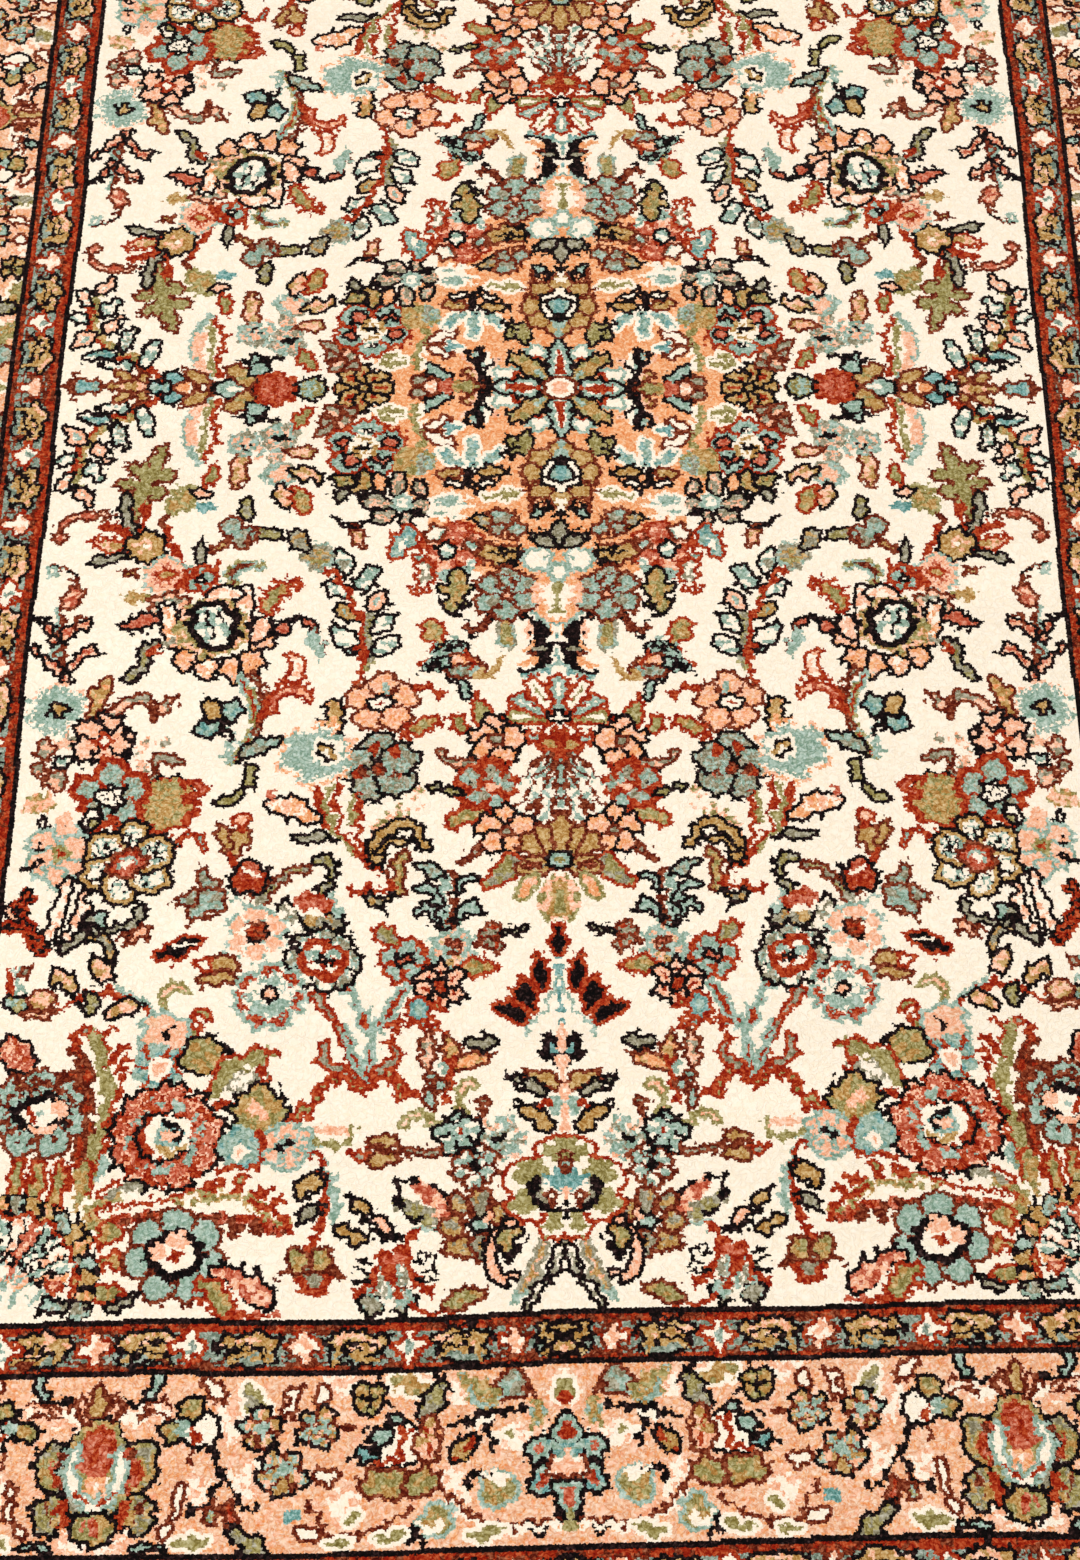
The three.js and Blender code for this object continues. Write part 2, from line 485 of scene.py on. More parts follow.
CORAL_FLOWER = (
    ("rust", line(2, (-14, 12), (-14.2, 7), (-15, 2))),
    ("brown pink+peach+pink", rosette(-7.5, 0.5, 11, 5, 90, 0.24, 3, "brown")),
    ("black ivory rust", oval(-8, 0.5, 8.6, 6)),
    ("sky", line(1.6, (-7, 7.5), (-6, 4))),
    ("rust", line(2.2, (1.5, 5), (5, 5.5), (8, 3))),
    ("rust olive+gold", blade(-2, -11, 13, 48, -44, 6, "round", 4),
     line(3.8, (4, 23), (4, 26.2), (6.6, 26), (7.4, 21), (6, 17))),
    ("rust", line(1.6, (-1, -8), (1, -12)), line(2, (6.5, 19), (5, 15), (2, 13.6))),
)

BIRD_BUD = (
    ("black+black+sky sky+black", blade(-9, 4.6, 18, 34, 10, 9, "drop")),
    ("black sky", line(3.4, (0, 4), (3, 2), (4.6, -2))),
    ("brown peach+pink", blade(-3, 7, 14, 24, -70, 8)),
    ("brown taupe+sky", blade(-2, 5.4, 12, 0, 10, 5.4)),
    ("rust", line(1.6, (4.4, 11.6), (6.4, 8))),
    ("gold", line(2.6, (8, 4), (12.4, 4.6), (13.6, 9))),
    ("black sky", oval(-1.6, 8.6, 5, 4.4, 30)),
    ("brown+black", line(2.6, (12.4, 26), (10, 21), (6.4, 18), (5.4, 20.4))),
    ("black", oval(4.5, 23, 2, 2)),
    ("taupe+sky gold+olive", line(5.6, (16, 24), (16, 14.6))),
)

PENDANT = (
    ("ivory", line(4.6, (10, 19.5), (10, 10))),
    ("black", line(4.6, (5.1, 21), (5.2, 16), (5.8, 11), (5.3, 7.6)), line(1.8, (0.4, 23.6), (4, 21.6)),
     line(2, (5.2, 6.6), (0.6, 4.4))),
    ("pink", oval(2, 19, 2, 5.4)),
    ("peach", line(1.6, (4.4, 14), (1.4, 12.6)), line(1.8, (3.6, 9), (0, 7.4))),
    ("brown", oval(3, 11, 3, 2)),
    ("taupe", oval(5.6, 12.6, 2, 1.6)),
    ("sky+teal", line(1.5, (3.2, 25), (6.6, 22.2), (10, 19.6), (10, 10), (7.4, 6.8), (4, 4.1), (-0.6, 3.3))),
    ("rust ivory teal", blade(10, -11, 14, 195, 0, 5.5, "drop")),
    ("rust olive ivory", blade(10, -11, 15, 170, 0, 6, "drop")),
    ("rust sky ivory", blade(10, -11, 16, 145, 0, 6, "drop")),
    ("rust ivory olive", blade(10, -11, 16, 119, 0, 6, "drop")),
    ("rust sky ivory", blade(10, -11, 16, 90, 0, 6.5, "drop")),
    ("black ivory taupe", oval(9.5, -9, 7, 5)),
)

BOUQUET = (
    # stems that fan out below the shell
    ("sky+ivory", line(1.9, (18.4, 38), (14.6, 31), (8, 23.4))),
    ("ivory+sky", line(1.9, (19, 38), (15.4, 27), (10.2, 15))),
    ("sky+ivory", line(1.9, (19.6, 38), (17.8, 26), (15, 12))),
    ("sky", line(1.9, (20, 40), (20, 8))),
    ("brown", line(1, (17.4, 38), (13.2, 31.4), (7, 24.6)), line(1.2, (18.6, 37), (14.6, 29), (9, 18.6)),
     line(1.2, (19, 36), (16.4, 26), (12.6, 13)), line(1.2, (19, 34), (18.4, 23), (17.6, 10)),
     line(2, (14, 20), (11, 17))),
    ("rust gold", oval(16, 37, 5, 5)),
    ("rust olive", blade(1.5, 42, 12, 112, 0, 6), blade(-5.6, 39.4, 8, 105, 16, 4.8)),
    ("brown taupe+pink", line(4, (1, 29.6), (-5, 31), (-8.6, 31.4), (-11, 34))),
    ("black", line(1.4, (-7.4, 28.8), (-4.6, 29.2))),
    ("black pink+peach", bloom(3, 38.4, 8.6, 5, 86, "brown taupe", 0.28)),
    ("rust", rosette(0.6, 24, 9.4, 5, 82, 0.2, 2)),
    ("taupe+sky", oval(-3.4, 26.4, 4.4, 6.4), oval(-1.4, 20.8, 6, 4), oval(5.4, 25.4, 5.4, 4.6)),
    ("sky", oval(3.2, 19.6, 2.8, 5.4)),
    ("taupe black", oval(2, 28.2, 3.4, 4.6)),
    ("black", oval(-2.8, 25.4, 2, 2)),
    ("pink", oval(1.6, 24, 3.4, 2.6)),
    ("black olive+taupe", line(4, (-12.4, 23.4), (-6.4, 21.6))),
    ("rust olive+gold", blade(1, 17.6, 13, 202, 10, 7.4, "round", 3)),
    ("black pink+peach", bloom(6, 10.5, 8.6, 5, 92, "brown taupe", 0.28)),
    ("rust olive+taupe", blade(8.4, 4, 14, -98, -70, 7)),
    ("brown taupe", line(2.6, (0, 6), (-3, 3), (-5, 0.5))),
    # tan palmette that gathers them
    ("brown gold", blade(20, 2, 13, 150, 0, 8)),
    ("brown gold taupe", blade(20, 0, 12, 185, 0, 7)),
    ("brown gold", blade(20, 2, 12, 120, 0, 7), blade(20, 3, 14, 90, 0, 7)),
    ("olive pink+peach", blade(14, -2.6, 10, -112, -20, 5)),
    ("olive+pink", blade(18, -4, 13, -92, 0, 6)),
    ("black sky olive", oval(20, 1, 8, 7)),
    ("brown coral", oval(13, -0.5, 5, 3)),
    ("gold olive", blade(20, -6, 10, -90, 0, 5)),
)

SIDE_STEMS = (
    ("black taupe+sky+taupe", bloom(8, 29.5, 11.5, 5, 100, "brown rust", 0.16)),
    ("rust+brown", oval(6, 35.5, 3, 4), oval(3.5, 27.5, 4.4, 3)),
    ("rust", oval(11.4, 34.4, 3.4, 4.4, 20), line(2.2, (-8, 23), (-6.6, 17), (-5.4, 11)),
     line(1.9, (-2.6, 26), (-3, 18), (-0.6, 9), (4.4, 1), (9, -3)),
     line(1.6, (3.5, 21), (3, 14), (3, 8), (6, 1))),
    ("brown+coral", oval(12.6, 27.4, 3, 3)),
    ("sky", line(1.8, (10, 31), (10.4, 28))),
    ("olive", line(1.3, (-4.6, 25), (-5, 18), (-2.6, 9), (2.6, 2)), line(1.8, (1.5, 20), (1.3, 12))),
    ("black gold+peach", blade(-4.6, 39, 14, 94, 0, 6.4)),
    ("pink+peach+ivory sky+ivory+sky sky", rosette(-9.4, 34, 11.4, 6, 80, 0.24, 2)),
    ("sky+ivory", line(3, (-3.4, 39), (-1.6, 31))),
    ("ivory black ivory", oval(-6.6, 35, 9, 8, -40)),
    ("gold", line(1.8, (-6.6, 36.6), (-4.6, 33.4))),
    ("olive+pink+ivory", line(4, (18.4, 21.4), (17.6, 17.4), (12, 14), (7, 9))),
    ("black gold", line(4.6, (7.4, 1), (7.6, 6.5), (11.5, 10.8), (17, 11.2), (20.6, 6)),
     line(3.6, (9, 3.6), (12, 6.2), (16, 6.2))),
    ("black", line(1.8, (9.5, 1), (10, -3))),
    ("black taupe", blade(-2, 7, 13, 165, 25, 4.6)),
    ("brown olive+gold", line(4.6, (15.2, 1.8), (13.6, 0), (13.6, -8))),
    ("rust", line(2.6, (12, -6.6), (9, -7.4), (1.5, -8.5))),
    ("black taupe+gold", line(3.4, (6, -9.4), (8.4, -12.6), (12.4, -9.6))),
    ("black", line(1.4, (8.4, -12.4), (11, -14.6))),
    ("black pink+ivory+peach", blade(-6.4, 12, 18, 136, 44, 7.4)),
    ("coral", oval(-20.6, 21.4, 3.4, 3)),
)

SMALL_BLACK = (
    ("black olive+taupe", line(4.4, (3.4, 21), (6, 20.4), (7, 16.4), (4.4, 11.4))),
    ("black taupe+ivory", line(5.6, (-5, 7), (-3.4, 3), (-1.6, -0.4))),
    ("black taupe+gold", line(6, (1, 5), (3, 2), (7.4, 2.4))),
    ("ivory", oval(1.6, 6.4, 9, 4)),
    ("rust+coral", oval(1.4, 8.6, 8.4, 5.4), oval(5.6, 7, 4.6, 5)),
    ("sky", line(1.6, (7, 10.4), (8, 5.4))),
)

ROSETTES_LOWER = (
    ("rust taupe", line(3.2, (-23, 6.4), (-17.5, -1), (-13, -9), (-11.6, -14))),
    ("sky rust", line(3.4, (-14, 9), (-10.6, 2), (-8.4, -5), (-7.6, -11)),
     line(3.4, (1, 9), (-2.6, 2.4), (-5.6, -3))),
    ("rust", line(2.2, (1.6, -1.6), (-2.6, -4), (-2, -1))),
    ("black taupe+sky+ivory", rosette(-20.5, 16.5, 11, 8, 90, 0.16, 2, "black")),
    ("rust rust ivory", oval(-20.5, 16.6, 13.4, 12.6)),
    ("rust", line(1.6, (-26, 16.5), (-15, 16.5)), line(1.6, (-20.5, 22), (-20.5, 11))),
    ("sky", oval(-23.2, 18.6, 3, 2.4), oval(-17.6, 18.6, 3, 2.4)),
    ("black pink", oval(-20.4, 16.6, 4.6, 4)),
    ("rust olive+taupe", blade(-1.4, 20, 9, 125, 10, 6.4)),
    ("rust sky", rosette(0.4, 16.4, 7.6, 5, 90, 0.2, 2, "rust")),
    ("rust", line(2, (4.4, 21.4), (6, 19), (6, 15))),
    ("black coral", oval(0.4, 16.6, 4.6, 4.6)),
    ("sky gold+pink+sky", rosette(12.6, 20.8, 7, 6, 90, 0.16, 2)),
    ("brown coral", oval(12.6, 21, 4.4, 4)),
    ("rust olive+gold", blade(13, 14, 12, 8, -10, 6.6, "round", 3)),
    ("black pink rust", bloom(9.5, 9.5, 7.6, 6, 90, "black rust pink", 0.42)),
    ("brown rust+taupe", oval(22, 25, 7, 6.6, 20), blade(18, 22.4, 9.4, -12, 0, 4.6)),
    ("black taupe", blade(24.4, 24, 8.4, 22, -20, 4)),
    ("rust olive", blade(6, 4, 7, -20, 0, 4, "point")),
    ("rust teal sky", blade(3, -2, 8, 85, -30, 7)),
    ("rust sky", blade(3, -1, 9, -25, 0, 5, "point")),
    # sprig above the gold flower
    ("sky", line(1.9, (10.8, 42), (10.6, 33), (11, 25))),
    ("brown", line(1.9, (13, 42), (13, 34), (12.4, 26))),
    ("black sky+taupe", blade(11.8, 41.4, 10, 155, 0, 5.4)),
    ("black sky", line(3.8, (9.6, 33), (7.4, 38), (4.6, 37.6)), line(3.8, (9.4, 26.4), (7.2, 32), (4.2, 31)),
     line(3.6, (14, 36.6), (15.6, 40.6), (18, 40.2)), line(3.8, (14, 28.4), (16.6, 32.4), (19.4, 31.6))),
)

CANDELABRA = (
    ("teal", line(1.4, (10, 26), (10, -6))),
    ("sky", line(1.2, (10, 16), (8, 11), (6, 7), (2, 4), (1, 1))),
    ("rust black black", blade(10, 22.5, 11, 90, 0, 6), blade(6, 12, 13, 96, 0, 5.5),
     blade(2, 6, 11, 95, 10, 7), blade(2, 5, 11, 175, -50, 6)),
    ("rust", line(1.6, (2, 16), (-1, 15.5))),
)

SIDE_OF_FIELD = (
    # feather branch
    ("rust", line(2.4, (0, 55.5), (-6, 51), (-16, 45.5), (-21, 37), (-22.4, 27))),
    ("olive+gold", line(1.8, (-5, 50), (-16, 43), (-19.6, 34), (-20, 25))),
    ("black ivory+sky", blade(-7, 51, 11, 163, 30, 5.6), blade(-21, 35.4, 8.6, 200, 14, 5.4),
     blade(-5, 52.5, 12, -80, 15, 6)),
    ("black ivory+sky+teal", blade(-12, 46, 12, 165, -20, 5.6)),
    ("black pink ivory+sky", blade(-18.4, 39.6, 10.6, 164, -40, 6), blade(-16.4, 41, 10.6, -74, 30, 5.6)),
    ("black pink+ivory+sky", blade(-22, 29.6, 9, 238, 10, 5.6)),
    ("black taupe+sky+ivory", blade(-11.4, 47, 11, -84, 30, 6)),
    ("black sky+ivory", blade(-19.4, 33.6, 10.4, -60, 20, 6.2)),
    ("black pink ivory+sky", blade(-21.4, 25.4, 10.4, -62, 24, 5.6)),
    # sickle leaf of many colours
    ("sky", line(1.8, (14, 55.5), (9.5, 50), (8, 44), (10, 38), (13, 33))),
    ("pink", line(2.6, (12, 53), (10, 47), (10.5, 40))),
    ("olive", line(1.8, (14.5, 54.5), (14.2, 47), (13.5, 40), (14, 35))),
    ("rust", line(2, (16.5, 55), (16.5, 48), (18.2, 43), (16.5, 40), (15, 33)), oval(18, 39, 3, 1.6)),
    # olive saz leaf
    ("brown olive", blade(0, 27, 9.4, 138, 20, 5.4), blade(-1, 22, 10, 152, 30, 4.8),
     blade(0, 24.6, 9, 24, 10, 5), blade(-2, 20.4, 8, 10, -10, 5), blade(-3, 11, 29, 88, -24, 7.4)),
    ("olive", line(2.4, (-4, 30.4), (-0.4, 27), (4.4, 28.6)),
     line(2.4, (-4.6, 25.4), (-1.4, 22), (2.4, 22.4))),
    # gold rosette with leaves that spring from it
    ("black taupe", line(4.6, (-6, 19.4), (-6, 14), (-2.4, 7.4))),
    ("rust", line(2.8, (-11.4, 10.2), (-7.6, 9.6), (-4.4, 5)), line(2.4, (-0.2, 17), (0, 7)),
     line(2.6, (5.5, 12), (7, 7), (9, 2), (11, -2))),
    ("rust gold+pink+olive", blade(-2, 2.4, 14.6, 174, -16, 6, "round", 4)),
    ("black taupe", blade(-2, 0, 13, 178, 30, 4.6, "drop")),
    ("brown gold", blade(0, -7, 7, 160, 20, 3, "point"), line(2.6, (7, 16), (5, 11))),
    ("black gold gold+gold+pink", rosette(1.2, 2.6, 7, 6, 90, 0.16, 2)),
    ("ivory", oval(1.4, 2.6, 2.6, 2.6)),
    ("brown coral+pink", line(3.8, (-10.6, 14), (-16, 14.4), (-21.6, 13), (-24.2, 9), (-22.6, 5.6))),
    # olive shell leaf and its small flower
    ("olive gold", blade(7, 14, 13, 62, -20, 10, "round", 5), blade(11, 17, 8, 85, 0, 5, "point")),
    ("teal", blade(14, 17, 7, -10, 0, 3, "point")),
    ("rust olive", blade(16, 23, 10, 70, 10, 5, "point")),
    ("black pink", oval(15, 21.5, 6, 5)),
    # pastel cluster
    ("brown gold+gold+pink", blade(25, 38, 15, -84, -14, 6)),
    ("sky+taupe sky+pink+taupe", rosette(35.4, 42.4, 6, 5, 90, 0.2, 2)),
    ("black", oval(36, 42.2, 4, 2.8)),
    ("taupe+sky taupe+sky+pink", rosette(26, 39.4, 5.6, 5, 60, 0.2, 2)),
    ("black", oval(26.6, 37.6, 2.4, 3)),
    ("pink+sky", line(2.4, (29.4, 40), (30.6, 34))),
    ("sky+pink+taupe", line(5.4, (35.4, 38), (35.2, 32))),
    ("taupe+sky pink+sky pink", oval(37, 29, 9, 9.4)),
    ("sky", oval(32.4, 27, 3.4, 4)),
    ("black gold+pink", blade(36.6, 26, 11, -78, 16, 5.6), blade(39.4, 31, 11.6, -20, -12, 6)),
    ("rust olive", blade(38.5, 45.5, 10, 52, 0, 5.4)),
    ("brown gold+pink", blade(37.6, 37.4, 9.6, -6, 0, 4.8)),
    ("rust olive+gold", blade(41, 25.4, 12.4, -70, 0, 6.4)),
    # grey trefoil and small leaves
    ("black olive+taupe", blade(29, 11, 10, 84, 40, 6), blade(30.4, 7.4, 9.4, 0, -6, 5.4)),
    ("brown sky+taupe", oval(24.4, 9.6, 7.4, 8), oval(28.6, 6, 8.6, 8.4)),
    ("sky+taupe", line(3, (25.6, 9.4), (27.4, 7.4))),
    ("brown", line(1.6, (30.4, 4.4), (29, 7.2), (31, 8.4))),
    ("brown gold", blade(25, 5, 8, 215, 10, 4)),
    ("black taupe", blade(17, -4, 10, 98, -10, 4.4)),
    ("olive+sky brown", line(3.4, (25.6, -11.6), (26, -6.6), (29, -3), (33.4, -4.4))),
    ("sky+pink pink pink+coral+pink", rosette(8, -7.4, 7.6, 6, 90, 0.2, 2)),
    ("rust gold", oval(7.6, -6.6, 5, 4.6)),
    ("rust", line(1.8, (12, -6), (11.4, -10), (10.4, -13))),
    ("rust sky", bloom(17, -8.5, 5.5, 5, 90, "black ivory", 0.3)),
    ("rust", line(2, (21.5, -3), (22.5, -10))),
    ("brown taupe", line(2, (-24, -4), (-20, -5), (-16.5, -10))),
)

GREAT_PALMETTE = (
    ("olive+gold", oval(-5, 40, 8, 4)),
    ("brown taupe+pink sky+taupe+ivory", rosette(4, 36.6, 6.8, 6, 90, 0.14, 2)),
    ("black coral", blade(3.4, 33, 13.4, 176, 46, 6.4)),
    ("black pink+peach+ivory", line(6, (3.6, 36), (5, 29), (8.6, 23))),
    ("black pink+peach", oval(9, 20, 8.4, 8.4)),
    ("black pink+peach+ivory", oval(14.8, 17.2, 8.4, 8.4)),
    ("black pink+peach", oval(21.4, 17, 6.4, 8.8), oval(26.8, 19, 9, 8.8), oval(29.6, 25, 9.8, 6.6, 20)),
    ("black pink+ivory", blade(26, 24.4, 13.6, 66, 0, 6.6), blade(23, 29, 16, 80, 8, 6.4),
     blade(12.6, 38.4, 12.4, 28, -20, 7)),
    ("rust olive+gold", blade(31, 34, 17, 98, -92, 8, "round", 5)),
    ("black coral", oval(34.4, 30, 6, 6), line(3, (37, 33.2), (40.4, 33.4), (43, 31))),
    ("olive+gold+pink", rosette(15.8, 30.6, 10, 9, 60, 0.1)),
    ("black black ivory+sky", oval(16.2, 31, 14.4, 17.4, 20)),
    ("black", line(1.3, (13.6, 35.4), (15.6, 32), (16.4, 27.6)), line(1.2, (17.4, 35.6), (18.6, 32)),
     line(1.6, (22.4, 36), (23, 31), (21.4, 26))),
    ("taupe", line(2, (6, 25.4), (0.4, 25))),
    ("black olive+taupe", line(4.6, (1, 24.2), (-2, 22), (-2, 17), (-5.4, 13.4))),
    ("rust", oval(1, 22.4, 3.4, 4)),
    ("sky+olive rust", line(3.2, (24.5, 14), (27.6, 7), (28.4, 0), (27.4, -6), (23.2, -12))),
    ("brown taupe", line(3, (27, 16), (30.4, 10), (31, 3), (29.5, -3))),
    ("sky", line(1.5, (22.6, -3), (22.4, -12.6))),
    ("rust", line(2, (30.4, 1), (33, 8), (35.5, 13))),
    ("rust coral+pink", line(4, (33, 4), (35.4, 9), (41, 10.4), (42.6, 8))),
    ("rust pink+ivory", line(4.6, (38, 21), (39.6, 18), (38, 14))),
    ("black sky+taupe", blade(24, -12.2, 15.4, 42, -34, 6)),
    ("brown", line(1.6, (43, 30.6), (45, 27), (46.6, 22.4))),
    ("sky", blade(42.4, 30.6, 10.5, -68, -14, 4)),
    ("black sky+teal", oval(22.4, 3.6, 7, 9.4)),
    ("black gold", oval(17.4, 3.8, 6, 9.4, 35)),
    ("black sky+teal", oval(16.4, -2.2, 9, 7)),
    ("black", line(1.8, (21.2, -1), (22, -6))),
    # sprig with paired leaflets by the guard
    ("sky ivory", oval(-29.6, 49.4, 4.6, 4.6)),
    ("brown+black", line(1.8, (-29.4, 52), (-25.4, 50.2), (-22, 46), (-21.4, 42))),
    ("sky", line(1.9, (-26.6, 37), (-26.2, 27), (-24.6, 16))),
    ("brown", line(2, (-24.8, 37), (-24.4, 25), (-22.6, 12))),
    ("brown coral+pink", blade(-25.2, 36, 10, 58, 10, 5.4)),
    ("black coral+pink", line(3.6, (-26.4, 26), (-28.6, 31.4), (-32, 34)),
     line(3.8, (-23.6, 26), (-22, 30.4), (-17.8, 32)), line(3.8, (-25, 16), (-28.4, 21), (-32, 24)),
     line(3.8, (-22.4, 13), (-20.4, 19.4), (-17.6, 23), (-15.6, 22))),
    ("brown", line(2, (-21.4, 31), (-20.4, 34))),
    ("pink+ivory+sky sky+ivory+sky sky", rosette(-24, 3.5, 9.6, 6, 90, 0.24, 2)),
    ("black gold", oval(-23.6, 3.6, 5.6, 6)),
)

BOUQUET_BY_GUARD = (
    ("brown gold+peach", blade(-5, 25, 15, 80, -20, 6.4)),
    ("brown taupe+pink", line(4, (-0.4, 25), (3.6, 30), (8.4, 32.4), (12.6, 29), (17, 31.6)),
     oval(-16.6, 16, 6.4, 7.4), oval(-17.4, 9.4, 6, 6), oval(-13, 6, 7, 7)),
    ("brown", line(2.6, (11, 29.4), (11.8, 25.6))),
    ("taupe+pink+ivory", line(3, (9, 9), (9.4, 16), (12, 19.6), (15.4, 18.4))),
    ("brown taupe", line(3.8, (13.6, 7), (13, 11.4), (15.4, 14), (18.8, 12.4))),
    ("taupe+pink", oval(-11.4, 18, 4.6, 5)),
    ("black ivory+sky", oval(-11.6, 11.6, 6.4, 5)),
    ("black", rosette(16.6, -0.2, 9.4, 7, 60, 0.24)),
    ("rust gold+olive+gold", rosette(17.6, -1.2, 8.8, 7, 60, 0.24)),
    ("gold+olive+gold", rosette(17, -0.6, 7.6, 7, 60, 0.24)),
    ("rust coral", line(3, (21.4, 5.6), (25, 5.4), (27, 3), (23.4, 1.6))),
    ("rust", line(2.6, (22.4, 0), (25.4, -2), (22.6, -6))),
    ("black pink", bloom(-1.5, 18.5, 9.4, 5, 75)),
    ("black", line(2, (4.4, 22), (6, 17), (5.2, 12))),
    ("rust ivory", oval(-1.4, 18, 5.6, 4.6)),
    ("rust rust sky+taupe+sky", rosette(2.2, 2, 12, 5, 94, 0.24, 2, "rust")),
    ("black ivory+black+ivory", oval(2.4, 1.4, 9, 9)),
    ("rust", oval(4, -5.4, 3, 3.4)),
    ("black olive+taupe", oval(-2.6, -5.6, 5.4, 8, -30)),
    ("black olive", line(3.8, (31.5, -0.5), (36, 2), (38.5, 6), (38.5, 10.5))),
)

LOWER_SIDE = (
    ("olive+gold+pink", oval(-21.5, 59, 9, 7)),
    ("black ivory", oval(-20.4, 52.6, 4, 4.6), blade(-10, 52, 9, 55, 0, 4, "point")),
    ("sky pink", bloom(-14.5, 44, 10.5, 6, 90, "olive rust", 0.25)),
    ("pink pink black", oval(-14.5, 52.5, 5, 7)),
    ("black", oval(-20.5, 45.5, 3, 2.6), line(1.8, (-20, 41.5), (-22, 39), (-24.5, 39))),
    ("black ivory+pink", line(4.4, (-11.8, 36), (-13, 28), (-15.4, 18.6))),
    ("black pink+ivory", line(4.4, (-6, 36), (-7.6, 27), (-11.6, 16))),
    ("rust sky olive", line(3, (15, 46), (18, 49.5), (22, 49), (23, 45.5))),
    ("black gold ivory+sky+black+ivory",
     bloom(3.5, 41.5, 13.8, 6, 84, "brown rust+coral coral+sky ivory", 0.38)),
    ("black taupe", line(3.8, (-11, 16.4), (-6, 20.5), (1, 21.6), (7, 23), (8, 27.6))),
    ("black taupe+sky", line(3.4, (-6, 22.4), (-4, 26), (-1.4, 25.6), (-2, 23))),
    ("black taupe+gold", line(3.8, (-5, 19.4), (-0.5, 18.8), (1.4, 14.4))),
    ("brown pink", blade(4, 16.4, 9, 46, -10, 5.4)),
    ("black pink", oval(-25.4, 26, 6.4, 5, -40)),
    ("rust+black black+rust black", line(4.6, (-21.6, 32.4), (-23.4, 27.6), (-20.4, 21.4), (-17, 15.4))),
    ("rust black", line(3.6, (-28, 21.6), (-23.4, 22.2), (-18.5, 18)), oval(18.5, 16, 14, 6.5, 22)),
    ("ivory", line(0.8, (17, 16.2), (21.5, 17))),
    ("sky", line(1.4, (29, 31), (32, 30), (36, 27))),
    ("brown sky+taupe", blade(30, 30, 15, 178, 6, 7, "point"), blade(28, 29, 13.6, 118, -8, 7, "point"),
     blade(29, 33, 14.6, -136, 10, 8, "point")),
    ("brown gold", blade(30.5, 42, 13, 108, 0, 5.5), blade(31.5, 42, 13, 80, 0, 6)),
    ("rust pink", oval(33, 53.5, 5, 6)),
    ("rust", line(1.6, (30.5, 44), (31, 40)), line(2, (-24.5, 9.5), (-23.5, 5), (-21, 1))),
    ("brown olive+taupe", line(4, (36.4, 32.6), (38.6, 27.4), (41.4, 33.4), (46, 37.4), (50.4, 38.6))),
    ("black rust+rust+coral", rosette(35.4, 36.4, 6.2, 5, 90, 0.2, 2)),
    ("ivory", line(1.6, (34.4, 38), (37.2, 36.4))),
    ("sky+ivory pink", rosette(37.4, 19.6, 9.6, 6, 90, 0.24, 2, "sky+ivory")),
    ("brown+black rust+brown", oval(37.6, 19.8, 6, 6)),
    ("ivory", line(1.6, (34.6, 20), (36, 20.6))),
    ("brown gold", oval(29, 11.5, 10, 5.5, -10), oval(28, 7, 10.5, 5.5, 8)),
    ("rust ivory", oval(24.5, 11, 5.5, 4.5)),
    ("sky rust+rust+coral rust+sky+rust ivory", rosette(41, 1.6, 10.4, 7, 90, 0.16, 2, "sky+ivory")),
    ("ivory+sky+ivory", oval(41, 1.6, 12, 11)),
    ("sky", oval(38.5, -2, 6, 4.4, -20), oval(43.8, -1.6, 5.4, 4, 20), oval(41.6, 5.4, 4, 3),
     line(1.4, (-22.5, 10), (-21.5, 5), (-21, 2))),
    ("black pink", oval(41.4, 2, 4.8, 4.8)),
    ("olive pink", line(2.8, (16, -5), (15, 1), (16.5, 5), (20, 4.5))),
    ("rust olive", line(3.4, (23, -10), (22, -5.5), (24, -2), (26.5, -3.5))),
    ("sky pink+pink+salmon", rosette(15.5, -8.5, 7.4, 6, 90, 0.14, 2)),
    ("black", line(1.5, (14.8, -9.4), (17, -7.6))),
    ("brown taupe", oval(-20, 9.2, 4.4, 4)),
    ("black olive+sky", oval(-22, 0, 8, 6.4, -20)),
    ("brown gold+pink", oval(-15.5, 1, 9, 6.4), oval(-16.3, -3.2, 9, 4.2)),
    ("rust", line(1.4, (-12, -1.6), (-9, -0.6)),
     line(1.9, (-9, -0.5), (-6, 2), (-1, 3), (7, 1), (11.5, -3))),
    ("black gold+pink", blade(-14, 10.5, 10.5, -48, 0, 6), blade(-4, 14, 11, -52, 0, 6.6)),
    ("sky", line(1.5, (2, 4.5), (8, 2.6), (12.4, -3))),
    ("black olive+taupe", oval(-3.5, 0, 6.4, 7)),
    ("black gold+pink", blade(0, -3.5, 10.5, 24, 0, 5.4)),
)

